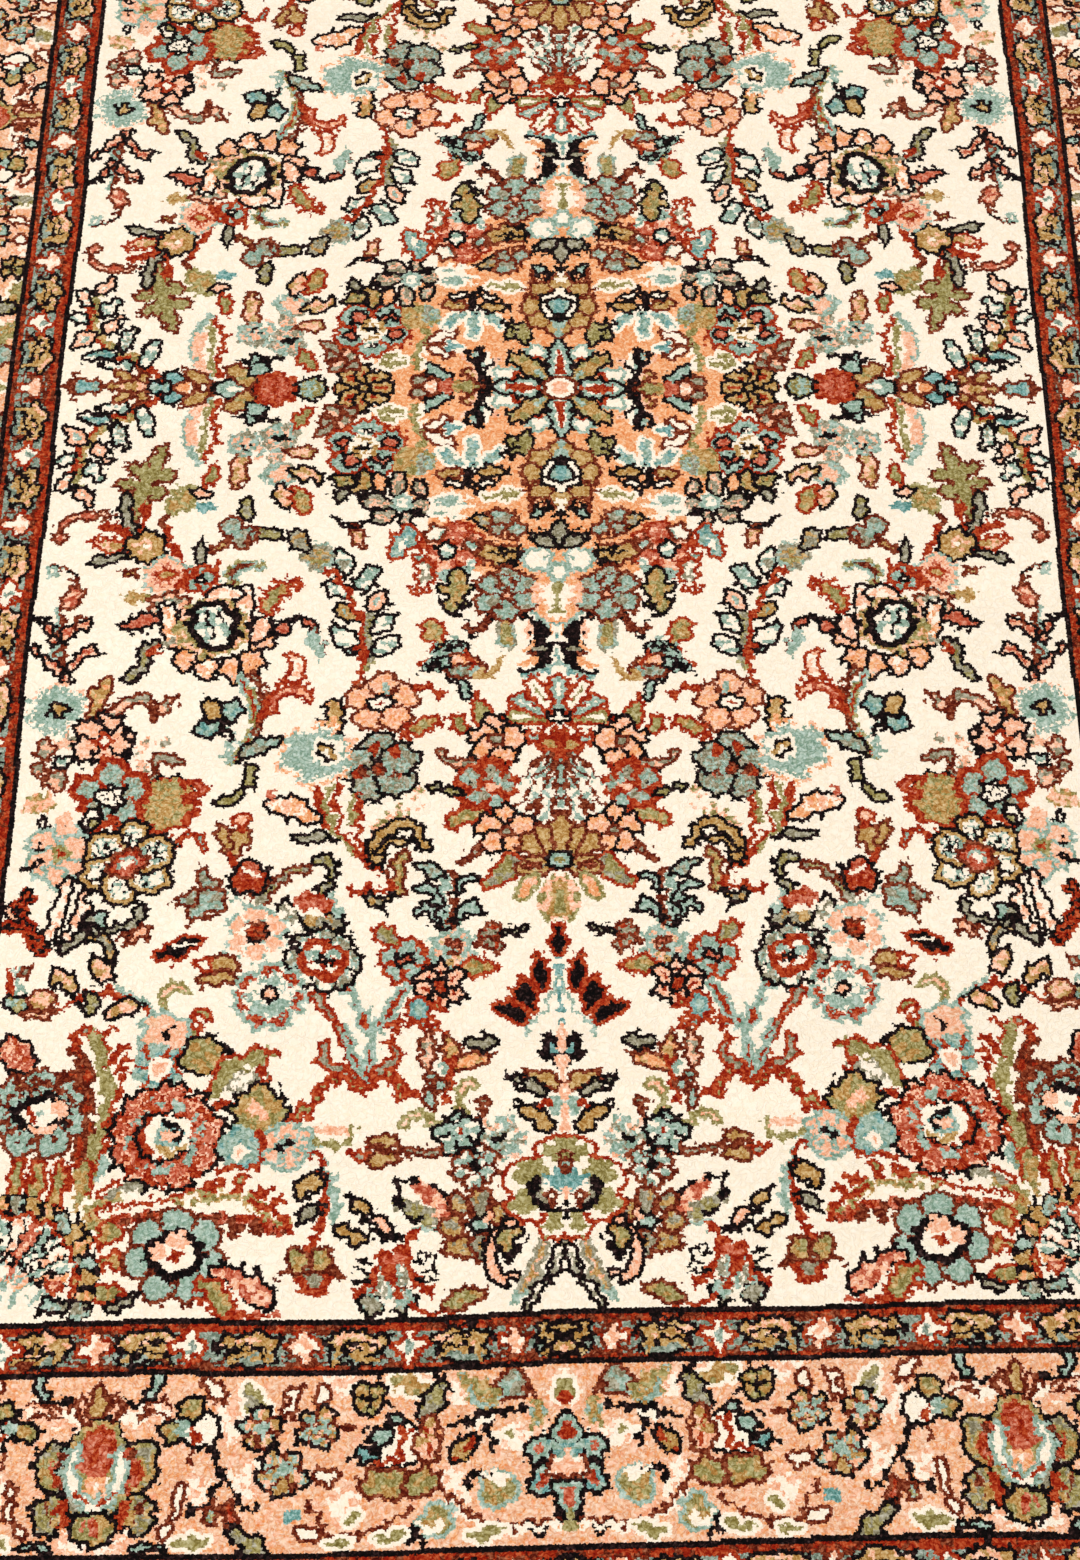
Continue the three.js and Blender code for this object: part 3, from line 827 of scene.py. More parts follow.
FLAMES = (
    # red flower with a black side
    ("black coral+pink+coral", oval(-15.8, 35, 13, 9.5, -48)),
    ("rust", line(1.4, (-17, 38.5), (-13.5, 34))),
    # flame leaf: lobed red half, olive half with hooks
    ("ivory", line(5.5, (6, 42), (5, 36), (5.5, 28), (5.6, 18), (3.5, 4))),
    ("brown rust+brown", blade(1.4, 4, 33, 92, 0, 7.4, "round", 4)),
    ("brown rust", blade(1, 34, 6, 128, 0, 3.6), blade(1, 28, 6.5, 150, 0, 3.8)),
    ("rust taupe", line(2.6, (3.5, 39), (1, 42.4), (-2, 41.2), (-1, 38.5))),
    ("olive", line(3.4, (3, 41), (5.2, 36), (5.8, 31), (7, 25), (6.4, 17), (3.4, 3))),
    ("rust", line(1.6, (6, 37), (5, 41.5), (7.6, 42.2)), line(1.8, (8.5, 30.5), (11, 34), (12.6, 33.6)),
     line(1.6, (13, 30.4), (10.2, 29.4), (9.8, 24), (8, 19), (7.6, 11), (5, 3))),
    ("rust ivory", line(2.2, (7.4, 34), (9.5, 37.5), (11.4, 37.8))),
    ("sky", line(2, (7.5, 7), (7, 2))),
    # blue rosette with ivory heart
    ("brown sky sky+sky+brown", rosette(-9.5, 19, 13.5, 7, 90, 0.14, 2, "brown")),
    ("brown sky+gold", oval(-14.5, 26.5, 3, 4), oval(-10, 28, 3, 4), oval(-5, 27.4, 3, 4)),
    ("black black ivory", oval(-9, 19, 14.5, 12)),
    ("pink", oval(-4.4, 20, 4.4, 5), oval(-9, 14.7, 7, 2.2)),
    ("sky", oval(-9, 19, 3, 2.6)),
    ("rust", line(1.4, (-12, 20.5), (-11, 17))),
    # flames round the sunburst
    ("rust olive+gold", blade(-13.8, -5, 13, 88, 4, 5.4), blade(-9, -5, 12, 84, 8, 5),
     blade(-4, -6, 13, 82, 4, 5)),
    ("olive+gold", blade(1.4, -8, 15, 78, 4, 6, "drop"), blade(5, -12, 12, 54, -12, 8)),
    ("rust", line(1.7, (-1, -1), (-0.5, 4.5), (1, 7)), line(1.7, (4.5, -2), (5, 4), (3.5, 7))),
    ("rust ivory", blade(6.5, -4, 8, 40, 0, 4)),
    ("rust olive", blade(6, -8, 7.6, 12, 0, 4)),
    ("rust olive+gold", blade(6, -15, 10, 26, 0, 6), blade(6.5, -20, 9, -2, 0, 5.4),
     blade(7, -26, 9, -24, 0, 6)),
)


def ray(reach, turn):
    """The point at a distance from the middle in the direction of turn."""
    return reach * cos(radians(turn)), reach * sin(radians(turn))


# The sunburst: beads round it, and its ribs with the edges between them, each with its turn
BEADS = zip(("taupe+sky", "peach+gold", "gold") * 4, range(-21, 123, 12))
RIBS = (
    ("coral+pink", 126), ("sky+ivory", 111), ("sky+ivory", 97), ("pink+ivory", 83), ("coral coral+pink", 67),
    ("sky", 53), ("sky+ivory", 42), ("pink+ivory", 30), ("sky+ivory", 17), ("pink+peach", 5),
)
RIB_EDGES = (134, 118, 104, 90, 76, 59, 48, 36, 24, 11, -2)
SUNBURST = (
    ("black", oval(0, 0, 46, 46)),
    *((dye, blade(*ray(18, turn), 4.6, turn, 0, 3.1)) for dye, turn in BEADS),
    ("rust ivory+ivory+sky", oval(0, 0, 36, 36)),
    *((dyes, blade(0, 0, 16.6, turn, 0, 3.2, "drop")) for dyes, turn in RIBS),
    ("black", *(line(1, ray(6, turn), ray(16, turn)) for turn in RIB_EDGES)),
    ("ivory", line(5, (-8, -7), (14, -7))),
    ("rust+coral pink", oval(12.2, -1, 5.6, 4)),
    ("black taupe+sky", blade(7.5, -5.6, 10.5, -4, 8, 4.6)),
)

CORNER = (
    # blue flower under the pink one
    ("sky teal+sky", rosette(-6, 42.5, 6.8, 6, 90, 0.16, 0, "rust")),
    ("ivory pink", oval(-5.8, 42.2, 6, 5.6)),
    ("rust", line(1.7, (-1.4, 46), (-0.6, 39.5))),
    ("black olive+gold", rosette(5.2, 45.4, 6.6, 5, 60, 0.14, 2)),
    ("black", line(1.7, (10.5, 48.5), (13, 45.2))),
    # leaf with ivory heart between the flowers
    ("ivory+taupe+ivory", line(6.5, (9, 38), (16, 41), (20, 38), (16, 35))),
    ("olive", line(4.4, (8.4, 35.5), (11, 40.6), (15.4, 43.2), (21, 45.4))),
    ("rust", line(1.7, (6.4, 34.5), (8, 40.4), (10.8, 44.4), (15, 45.4), (18.6, 46.8), (24, 45.2)),
     line(1.8, (21.6, 44), (20.4, 40.4), (22, 37.4), (19, 33.6), (13, 32.2), (9, 32))),
    # great red rosette
    ("black coral+coral+pink+rust", rosette(-2.5, 23, 16.2, 9, 90, 0.14, 2, "rust")),
    ("rust+coral+sky", rosette(-2.5, 23, 10.6, 9, 110, 0.3)),
    ("black rust", oval(-3.2, 23.2, 15, 14)),
    ("ivory", oval(-1.6, 23.6, 12, 11)),
    ("gold", line(1.8, (-4, 21), (-1.4, 19), (1.8, 20.6))),
    ("sky+teal", oval(-2, 23.6, 7, 6.4)),
    ("black", line(1.8, (-2, 26.4), (0.3, 25), (0.1, 22.4))),
    ("pink", oval(-2.2, 23.5, 3, 3)),
    # black flower with olive lobes
    ("black olive+gold", rosette(20.2, 30, 8.6, 5, 90, 0.18, 2)),
    ("pink", oval(19.5, 30.4, 5, 4)),
    # blue flower and pink flower side by side
    ("pink", line(2.2, (34.5, 24), (39, 24.4), (42.5, 23.2))),
    ("olive", line(2.2, (34, 22), (37, 20), (42, 20.5), (44, 24.5))),
    ("sky+sky+teal", oval(16.4, 20.2, 11.4, 11.4)),
    ("ivory pink", oval(16.4, 19, 4.6, 4)),
    ("sky pink+pink+sky", rosette(27.4, 20.7, 7.4, 5, 90, 0.16, 0, "sky")),
    ("black", line(2.2, (25.6, 20), (28, 21.6))),
    ("rust", line(1.8, (20.8, 24.6), (21.6, 20), (20.4, 15.4), (11, 14.4))),
    # long leaf lying along the end
    ("ivory", blade(-17, 2, 44, 7, -13, 8)),
    ("olive+gold+ivory", line(3.8, (2, 6), (9, 7.6), (17, 6.6), (23, 3.4), (27.4, -0.6))),
    ("rust", line(1.6, (-15, 3.4), (-5, 5.4), (2, 7.4), (8, 9.2)), blade(8, 8, 6, 40, 0, 3),
     blade(19.5, 7, 5.4, 30, 0, 3.4), line(2.2, (19.4, 5.4), (24, 4), (27, 7)),
     line(2, (25, 4), (27.4, 0.4), (29, -2))),
    ("rust olive", blade(15, 8, 6, 62, 0, 4.4)),
    ("rust+coral+brown", line(3, (-13, 0.6), (-4, 2), (5, 1.6), (15, 1), (22, 0), (26, -2))),
    ("rust+brown", blade(15.5, 1, 5, -76, 0, 3.8)),
    ("brown", blade(20, 1, 5, -70, 0, 4)),
    ("taupe", line(2.2, (-16, 6.5), (-12, 9.4), (-8, 8.4))),
    # blue rosette under the leaf
    ("brown sky", rosette(2, -8.5, 13.4, 7, 90, 0.2, 0, "brown")),
    ("black black ivory", oval(2, -8.4, 15, 13.4)),
    ("pink", oval(2.4, -4.6, 6, 3.6), oval(-2, -7.8, 4, 4.6)),
    ("rust", oval(2.4, -9, 3, 3)),
    ("black coral+coral+pink", blade(11, -11.4, 18, -24, -24, 10.4, "round", 4)),
    ("ivory", blade(12, -15, 14, -40, -8, 3.6)),
    ("rust olive+gold", blade(7.4, -15, 13, -36, -24, 8.6, "round", 4)),
    ("rust+coral", line(1.8, (15, -23.6), (21, -23.8), (26, -23))),
    ("black taupe", blade(-13.5, -23, 11, 35, 0, 4.2, "point")),
)

ABOVE_THE_END = (
    ("sky rust", line(3, (-8.5, 66), (-7, 60), (-5.5, 56)), line(3, (-2.6, 66), (-3, 58), (-4, 53.5))),
    ("rust taupe", line(3.8, (-15, 62), (-15, 58), (-11.5, 55.4), (-7, 53.6)),
     line(3.8, (1.8, 62.4), (3.2, 59), (1, 55.2), (-2, 53.4)), blade(-1, 33, 8, 190, 0, 4, "point")),
    ("rust rust+olive",
     line(3.2, (-15.4, 48.4), (-14, 52), (-9, 53), (-4.6, 50.4), (-1, 53.2), (3, 53), (4.6, 48.6))),
    ("rust olive", blade(-23, 42, 12, 30, 20, 4.6)),
    ("brown taupe+pink", blade(11.4, 54.5, 11, 97, -10, 5.6)),
    ("brown gold+peach", blade(17, 56.5, 9, 88, 10, 5.8), blade(16.5, 56.4, 12, 4, 22, 5.6)),
    ("black taupe", blade(20, 61, 10, 30, -22, 5)),
    ("rust", line(1.9, (16.8, 58), (16.8, 52), (16, 46.4)), line(2, (6, 49), (8.6, 47.4))),
    ("brown sky", oval(11.4, 52.2, 4.4, 4.4), oval(14.4, 50.8, 4.8, 5), oval(12, 47, 5, 7)),
    ("sky", oval(15.4, 55, 2.6, 3), line(2, (-13.6, 31.5), (-10.6, 25), (-9.4, 21), (-10, 15)),
     line(2.4, (9.5, 13), (14, 12.6))),
    ("olive pink", line(2.6, (22.5, 50.5), (20, 52), (19.5, 47), (21, 40.5)),
     line(2.8, (6, 40.5), (8, 42.5), (11, 42), (13.5, 40))),
    ("brown taupe", line(2.6, (26.5, 47), (24.5, 46), (25, 40.5))),
    ("sky+pink sky+sky+ivory", rosette(29.4, 36.2, 6.6, 5, 80, 0.3, 2, "taupe")),
    ("black", oval(29.4, 36, 3.4, 2.4, 20)),
    ("brown sky+sky+ivory", rosette(23.4, 28.4, 7, 6, 90, 0.24, 2, "brown")),
    ("black", oval(23.4, 28.6, 3, 3)),
    ("black sky+sky+ivory", bloom(19, 37.5, 7.6, 5, 98, None, 0, "point")),
    ("sky ivory", oval(19, 37.8, 5, 5)),
    ("rust", oval(19.6, 38, 1.6, 1.6),
     line(2.2, (-16, 33), (-13.2, 29), (-12, 23), (-12.2, 17), (-15, 11), (-16, 6))),
    ("brown taupe", line(2.6, (5, 33.5), (10, 32.5), (15, 32))),
    ("brown gold", oval(1, 35.5, 8.5, 4.8), oval(1.5, 31, 8.5, 4.8)),
    ("black gold", blade(-12.5, 28.5, 10, 222, 0, 6), blade(-8, 23.5, 9.5, -48, 0, 5.2, "drop"),
     blade(-10, 15, 10, -38, 10, 5.2)),
    ("black taupe", blade(-12.5, 20.5, 9, 214, 10, 5.2)),
    ("rust rust taupe", blade(-15.5, 8, 12, -85, 0, 9)),
    ("brown gold+olive", oval(-18.6, 5.2, 6.4, 8.4, 10), oval(-13, 5.2, 6.6, 7.4, -10)),
    ("brown", line(1.8, (-20, 3), (-23, 1)), line(1.8, (-11, 3), (-8.5, 2))),
    ("black pink", oval(1.4, 14.2, 7.4, 5.4, -45)),
    ("black", line(1.5, (-1, 13), (1.4, 10.6), (7, 11.4))),
    # olive leaf with its red half turned up
    ("ivory", line(6, (8.6, 22), (15, 15.4))),
    ("black", line(2.4, (10, 24.4), (14, 22.6), (16.8, 19))),
    ("coral+coral+pink", line(3.8, (10.4, 23.2), (13.6, 20), (16.2, 16))),
    ("olive+taupe", line(3.8, (6, 19.6), (9.4, 17.4), (13.6, 15))),
    ("black", line(1.4, (4.8, 21), (7, 16.6), (11, 15)),
     line(1.4, (5.6, 21), (5, 25), (7.6, 25.8), (9, 24.4))),
    # gold rosette with a blue heart
    ("brown gold+taupe", oval(19.8, 18.4, 6, 7.6), oval(24.8, 18.8, 6, 8.4), oval(29.4, 15.8, 6, 7),
     oval(18.2, 12.6, 8, 6.6), oval(20.2, 7.4, 8, 6.6), oval(24.6, 7, 5, 8)),
    ("black sky", oval(24.4, 13.2, 6.6, 6)),
    ("pink", oval(26.6, 14.4, 2.6, 3)),
    ("black pink", line(4.4, (32, 12.8), (28, 8.4), (27.4, 2.6), (29.6, -1.2), (33, -0.8))),
    ("black olive+gold", blade(29.4, 5, 10, 62, -12, 6.6)),
    ("black", line(2.6, (33.4, 7), (32.4, 4.4))),
    ("taupe pink+gold", line(3.4, (40.5, 9), (38, 2), (35.6, -4))),
    ("sky", line(1.6, (35.4, -4), (32.6, -7.5))),
    ("black taupe+ivory", line(3.8, (44.5, 8), (42, 0), (36, -8.6))),
    ("rust", line(2, (9.5, 12.2), (7, 9.6), (5, 6))),
    # tulip at the end, red and blue over a grey foot
    ("black taupe+sky", oval(-0.4, -5.8, 8.6, 7), oval(6.2, -5.8, 8.2, 7)),
    ("sky+ivory+taupe", oval(3.4, -0.4, 14, 8.6)),
    ("ivory", line(1.4, (3, -5), (3, -9))),
    ("rust", line(2.3, (1.6, 6.6), (0.4, 2), (-1.4, -1), (-5, -3.6)), line(2.3, (3, 6), (3.4, 1), (5.2, -4)),
     line(2.3, (6.6, 7), (8.6, 2), (10.4, -1), (14, -3.6)), line(1.6, (9, -6.5), (13, -9), (18, -9))),
    ("rust+coral", line(2.4, (1, 5.6), (7.6, 5.2))),
    ("brown+sky", line(1, (5, 4), (5.6, 0), (8.4, -4))),
    ("black", line(1.3, (-5.4, 5.8), (-1.6, 4.8)), line(1.3, (-5, 3), (-1.6, 2)),
     line(1.3, (-5, -0.4), (-1.8, 0.2)), line(1.3, (10, 4.6), (12, 6.8), (14, 5), (14, 2), (11.4, 1.8)),
     line(1.3, (10.6, -0.6), (14, -0.2))),
    ("brown gold+olive", blade(15, -8.4, 13, 34, -30, 5.6)),
)

# Motifs that stand on the rug's middle line, from the centre outwards
MIDDLE_LINE = (
    # gold rosette under the centre, with an olive leaf at its shoulder
    ("black olive", blade(-9, -24.5, 10, 143, -10, 5.4), blade(-10, -25, 9, 92, 0, 6),
     blade(-8.5, -23, 8.5, 190, 0, 4.4)),
    ("olive", oval(-10, -22, 5, 5)),
    ("brown gold", rosette(0, -31.8, 13, 8, 90, 0.16, 3, "brown")),
    ("sky", blade(0, -27, 7, 90, 0, 3, "point")),
    ("black ivory+ivory+black black sky+teal", oval(0, -32, 13, 12.4)),
    ("ivory", oval(0, -36.6, 2, 2), line(2.4, (0, -41.5), (0, -45))),
    ("black sky", blade(-3, -42, 8, -120, -20, 4.4)),
    ("brown", line(2, (-8, -40), (-8.3, -44))),
    ("black", line(2.4, (0, -46), (0, -50))),
    # taupe crown over an ivory trefoil
    ("pink+peach", oval(0, -73, 14, 18), oval(0, -81, 6.6, 6)),
    ("ivory", oval(0, -73.6, 7.8, 9.6), line(3.6, (0, -75), (0, -81))),
    ("olive", line(2.8, (0, -69.8), (0, -79.4))),
    ("sky ivory", oval(-5.6, -61.8, 8.8, 9), oval(0, -66.4, 6.4, 6.6)),
    ("black taupe", blade(-1, -58, 8.5, 140, 10, 5)),
    ("black taupe taupe", blade(0, -58.5, 12, 90, 0, 6)),
    ("sky", line(1, (-1, -60.5), (-3.5, -61))),
    # gold heart under the shell
    ("rust sky", oval(-7, -121, 6.5, 5)),
    ("rust gold olive", oval(-3, -123, 5.5, 5.5)),
    ("rust gold", oval(0, -119.5, 5, 4)),
    ("rust", line(1.8, (0, -121), (0, -127))),
    # blue buds and paired leaves above the olive palmette
    ("black black teal teal", blade(-0.5, -218, 9.5, 117, -10, 6)),
    ("brown gold", blade(-0.5, -225, 13, 145, 15, 5, "point")),
    ("pink ivory", line(2.4, (0, -208), (0, -236))),
    ("black taupe", blade(-3.5, -227, 12, 150, 10, 5)),
    ("sky", oval(-2.8, -230, 4, 5)),
    ("rust", oval(-5.3, -229.3, 3, 3.6)),
    ("black gold", blade(-2.5, -238, 13.5, 122, 45, 5)),
    # olive palmette: a red zigzag rim, ivory, olive lobes and a blue heart
    ("rust ivory", oval(0, -244.5, 17, 13), oval(-7.5, -250, 16, 13), oval(-6.5, -257, 16, 11),
     oval(-2, -262.5, 9, 8)),
    ("ivory", oval(0, -247, 13, 8), oval(-5, -252, 16, 14)),
    ("olive", oval(0, -242.5, 11, 6.5), oval(-8.5, -248.5, 8.5, 7.5), oval(-8.5, -256, 9, 6.5),
     oval(-2.8, -262.5, 4.6, 5)),
    ("black", line(2.4, (-7, -250), (-7.3, -254), (-5.5, -258), (0, -259.5))),
    ("taupe", line(1.2, (-5.8, -251), (-6, -254.5), (-4.5, -256.5))),
    ("teal", oval(0, -250.5, 10, 7)),
    ("brown sky", blade(0, -249, 6.5, 90, 0, 4.6)),
    ("pink", oval(0, -254, 2.6, 5)),
    ("brown ivory", oval(-3.2, -255.7, 3.6, 3.6)),
    ("black", line(1.4, (0, -255), (0, -259))),
)

# The rosette at the rug's centre
CENTRE_ROSETTE = (
    ("sky ivory", oval(-16.4, -5.2, 6.8, 6.8), oval(-6.6, -13.8, 7, 6, 30)),
    ("rust", oval(-13.4, -4.4, 2.6, 3.4)),
    ("rust olive", oval(-6.6, -10.4, 2.6, 4)),
    ("black gold+gold+olive", blade(-2.4, -2.2, 17, 222, 0, 7.8)),
    ("olive+sky", line(1.6, (-4.6, -3.6), (-7, -6))),
    ("black sky ivory rust", oval(-11.6, 0, 17.4, 8.6), oval(0, -10.2, 8.8, 17)),
    ("sky", oval(0, -15.6, 3.4, 2.8)),
    ("rust", line(2.4, (-7, 0), (-14.6, 0)), line(2.4, (0, -6), (0, -13))),
    ("brown ivory pink", oval(0, 0, 9.8, 8.6)),
)

# Half the medallion's peach ground across the rug, by distance along it from the centre
MEDALLION_GROUND = (
    (0, 52), (10, 54), (20, 50), (30, 46), (38, 42), (46, 36), (52, 36),
    (60, 30), (66, 22), (72, 14), (80, 7), (86, 2.5), (92, 0),
)

# The motifs of the field in the order they are drawn, and where each one's own measures start
FIELD = (
    (SPRIG_BESIDE_MEDALLION, -60, -100), (CORAL_FLOWER, -40, -110), (BIRD_BUD, -30, -105),
    (PENDANT, -10, -105), (BOUQUET, -20, -160), (SIDE_STEMS, -55, -160), (SMALL_BLACK, -65, -180),
    (ROSETTES_LOWER, -40, -205), (CANDELABRA, -10, -210), (SIDE_OF_FIELD, -115, -60),
    (GREAT_PALMETTE, -110, -115), (BOUQUET_BY_GUARD, -120, -140), (LOWER_SIDE, -115, -200),
    (FLAMES, -120, -250), (SUNBURST, -134, -275), (CORNER, -95, -260), (ABOVE_THE_END, -45, -275),
    (MEDALLION, -55, -50), (MIDDLE_LINE, 0, 0), (CENTRE_ROSETTE, 0, 0),
)

# Motifs of the main border, from the rosette at its middle to the palmette beside it, above its base
BORDER_UNIT = (
    # pale clouds in the ground round the motifs
    ("pink+ivory", oval(-11, 24, 12, 6), oval(-30, 37, 14, 6, -20), oval(-53, 39, 12, 5),
     oval(-52, 11, 9, 7, 60), oval(-26, 14, 5, 12, 30), oval(-79, 31, 6, 12), oval(-73, 17, 6, 10),
     oval(-86, 14, 5, 9), oval(-98, 33, 13, 6, 20), oval(-104, 1, 12, 4)),
    # rosette with six blue petals and coral hearts
    ("black sky coral+rust", oval(0, 25, 10, 9.6, 90)),
    ("black sky coral", oval(-7, 21.2, 8, 8)),
    ("black sky+teal coral+rust", oval(-6, 13.8, 9, 8.4, 60)),
    ("black sky coral", oval(0, 9, 9.6, 9)),
    ("black", line(2, (-3.5, 7), (-2, 4))),
    ("brown ivory+pink", oval(0, 16.4, 10.6, 7.6)),
    ("sky+teal", oval(0, 20.7, 8.4, 4.4)),
    ("pink", line(1.6, (0, 20), (0, 14.5))),
    ("ivory olive", blade(0, 41.5, 9.5, -90, 0, 7.4, "drop")),
    ("rust", oval(0, 33.5, 2.4, 3.6)),
    ("olive", oval(0, 3.4, 3.4, 4.6)),
    ("black pink", oval(-8, 2.4, 6.6, 3.6)),
    # trefoil and bud beside it
    ("brown sky+taupe", rosette(-12, 37.7, 5, 3, 90, 0.4)),
    ("brown", line(1.4, (-9, 37), (-7.4, 35.5), (-7.2, 33))),
    ("gold+olive+sky", oval(-7, 30, 4.6, 7, -20)),
    ("ivory olive", blade(-10, 24.5, 7, 170, 0, 4)),
    # black twig with a fork
    ("black", line(2, (-10, 32), (-15, 30.8), (-20, 30.4), (-26.5, 28.4)),
     line(1.8, (-17, 30), (-19, 26.6), (-17.3, 24.5), (-17.5, 21.5))),
    ("ivory", line(1.6, (-21.5, 28.2), (-18, 29))),
    ("black rust+gold", blade(-27, 18.5, 10, 62, -20, 5.6)),
    ("gold", oval(-24.8, 20.8, 2.6, 2.6)),
    # leaves against the inner guard
    ("sky+gold+olive", blade(-25, 41, 12.5, -40, -18, 7.4, "drop")),
    ("ivory/olive+gold", blade(-41, 39.7, 9.5, -8, -20, 4.4)),
    ("black olive+taupe", blade(-28, 40, 13, -116, -12, 6.8)),
    ("black", line(2, (-30.8, 41.5), (-29, 38.5))),
    ("black gold+olive", rosette(-46, 36, 5.2, 4, 45, 0.3, 0, "black")),
    # lobed flower with a black rim
    ("black ivory", oval(-39.5, 23.5, 13, 12)),
    ("black sky+teal", oval(-43.8, 26.4, 6.6, 6)),
    ("black teal+sky", oval(-47, 21.6, 6.4, 5)),
    ("black sky", oval(-40, 30, 4.6, 4.6)),
    ("rust", line(1.8, (-38.4, 27.5), (-39.5, 24), (-38.4, 20.4)), line(1.4, (-44, 20.8), (-40, 20.5))),
    ("brown gold+pink", blade(-33, 18, 13, 90, 0, 7.4)),
    ("rust", oval(-33.4, 26.5, 1.8, 3), oval(-32.4, 22.4, 1.8, 2.4)),
    ("brown gold+olive", oval(-43, 15, 12, 8.4, -12), oval(-34, 14.4, 10, 8, 20)),
    # wreaths with a black comma
    ("sky gold+olive", oval(-16.5, 12, 9.6, 9.6), oval(-30.5, 5, 9.6, 9)),
    ("ivory", blade(-20, 15, 6, -8, 0, 3.2), blade(-34.6, 3.2, 6, 6, 0, 3.2)),
    ("black", line(1.6, (-23, 13), (-22.4, 15.2), (-19.8, 15.8)),
     line(1.6, (-35.4, 4.4), (-36, 1.2), (-33, 0.4))),
    # vine and small bits against the outer guard
    ("ivory", line(1.4, (-28, 10.5), (-22, 4.5), (-14, 2), (-3, 3))),
    ("brown", line(1.2, (-30, 14), (-27, 10), (-22, 5.7), (-14, 3.4), (-3, 4.6))),
    ("ivory/olive", blade(-23.6, 1.2, 9, 4, 0, 3), blade(-44.5, 0.8, 7, 8, 0, 2.6)),
    ("brown", line(1.3, (-37, 9), (-41, 5), (-48, 2.5), (-55, 3)),
     line(1.3, (-60, 11), (-57.5, 8), (-56, 5))),
    ("ivory/olive", oval(-50, 7, 5, 2.8, 40), oval(-52, 0.4, 6, 2.4)),
    ("brown ivory", blade(-62, 4, 7.5, -15, -10, 4.8)),
    ("teal", oval(-63, 8, 4.6, 3.6)),
    # paired buds and the three dark flowers
    ("brown ivory", blade(-63, 40, 10, -108, 0, 4.6), oval(-57.3, 37, 4.8, 7, 10)),
    ("ivory/olive+taupe", blade(-74.5, 39.5, 9, -70, 0, 4.4)),
    ("brown", line(1.4, (-49, 28.5), (-52, 29.2), (-54, 29.3))),
    ("black gold+pink+sky", rosette(-71.5, 28.5, 6, 5, 90, 0.3, 0, "brown", "sky", 0.3)),
    ("black pink+gold+sky", rosette(-58.2, 28.8, 5.8, 5, 60, 0.3, 0, "brown", "sky", 0.3)),
    ("black gold+sky+pink", rosette(-66.2, 18.2, 6.8, 5, 60, 0.3, 0, "brown", "sky", 0.25)),
    ("brown ivory", blade(-60, 17, 8.5, 4, -8, 4.8)),
    # gold tulip under a forked black stem
    ("ivory", line(1.2, (-82.5, 16), (-85.5, 11)), line(1.2, (-77.6, 18.5), (-74.6, 12.5))),
    ("black", line(1.8, (-83.5, 25), (-81, 21), (-80.5, 16), (-84, 10), (-87, 9)),
     line(1.6, (-80, 20), (-77, 14), (-74, 10), (-71.5, 10))),
    ("brown olive+sky", oval(-82, 8.5, 4.6, 7.4, -10)),
    ("brown rust+coral", oval(-77.6, 8.7, 4.6, 8, 10)),
    ("black taupe+olive", blade(-78.5, 5.5, 13, -42, 12, 5.8)),
    # three lobed flower beside the palmette
    ("black ivory", oval(-85.5, 29, 10.5, 10.5)),
    ("black gold+olive", oval(-87.6, 33.7, 7.8, 6.4), oval(-92.5, 28.4, 6.6, 7.4)),
    ("sky", oval(-89, 29.6, 4, 3)),
    ("rust", line(1.8, (-87, 29.5), (-86, 26.5))),
    ("brown ivory", blade(-86, 41, 9, -44, 8, 5), line(3.2, (-89.7, 15), (-90, 9), (-92.7, 3.5))),
    ("brown", line(1.4, (-87.5, 23.5), (-87, 20))),
    ("ivory/olive", blade(-90.5, 1.3, 9, 2, 0, 3)),
    ("black sky", line(2.8, (-99, 0), (-93, 0.2))),
    # crown of thin leaves over the palmette
    ("black sky", line(3.6, (-95.3, 41.5), (-95.6, 39), (-97.4, 36.4))),
    ("black", line(1.4, (-97.5, 36.4), (-100, 35.6), (-102.4, 36.4))),
    ("brown", line(1.2, (-92.5, 35), (-96, 34.8), (-99.8, 33.6)),
     line(1.2, (-93.5, 32.5), (-97, 32.6), (-100.5, 31))),
    ("ivory", blade(-105, 30, 6, 34, 0, 2.6)),
    ("brown", blade(-106.2, 30.5, 7, 44, 20, 3.2, "point")),
    ("brown pink", blade(-107.4, 30.5, 9, 62, 16, 4.4, "point")),
    ("brown gold", blade(-109, 30.5, 11, 90, 0, 5, "point")),
    # palmette: gold and taupe lobes, red heart, blue and ivory fork
    ("black gold+taupe+olive", oval(-99.6, 8.6, 12.6, 10.4, 112)),
    ("black gold+olive+taupe", oval(-99.3, 19.8, 14, 9.6, 82)),
    ("black olive+gold+taupe", oval(-109, 18, 27, 18, 90)),
    ("gold+olive rust+coral", oval(-109, 23.4, 15, 13, 90)),
    ("ivory+pink+peach", oval(-109, 15, 4.6, 6)),
    ("sky ivory", line(4.2, (-109, 9), (-105.6, 12), (-103.2, 18), (-104, 23.5))),
    ("rust", line(1.6, (-107.2, 10.6), (-104.4, 13.2)), line(2.2, (-101.4, 10.6), (-102.6, 5.6))),
    ("rust+coral+brown", line(2, (-101.4, 23), (-99.4, 19), (-101, 14.6))),
    ("brown", line(1.4, (-98, 11), (-99, 8))),
    ("black olive+gold", oval(-109, 4.4, 12, 9.6)),
    ("coral+rust", oval(-109, 5, 3.8, 4.2)),
)

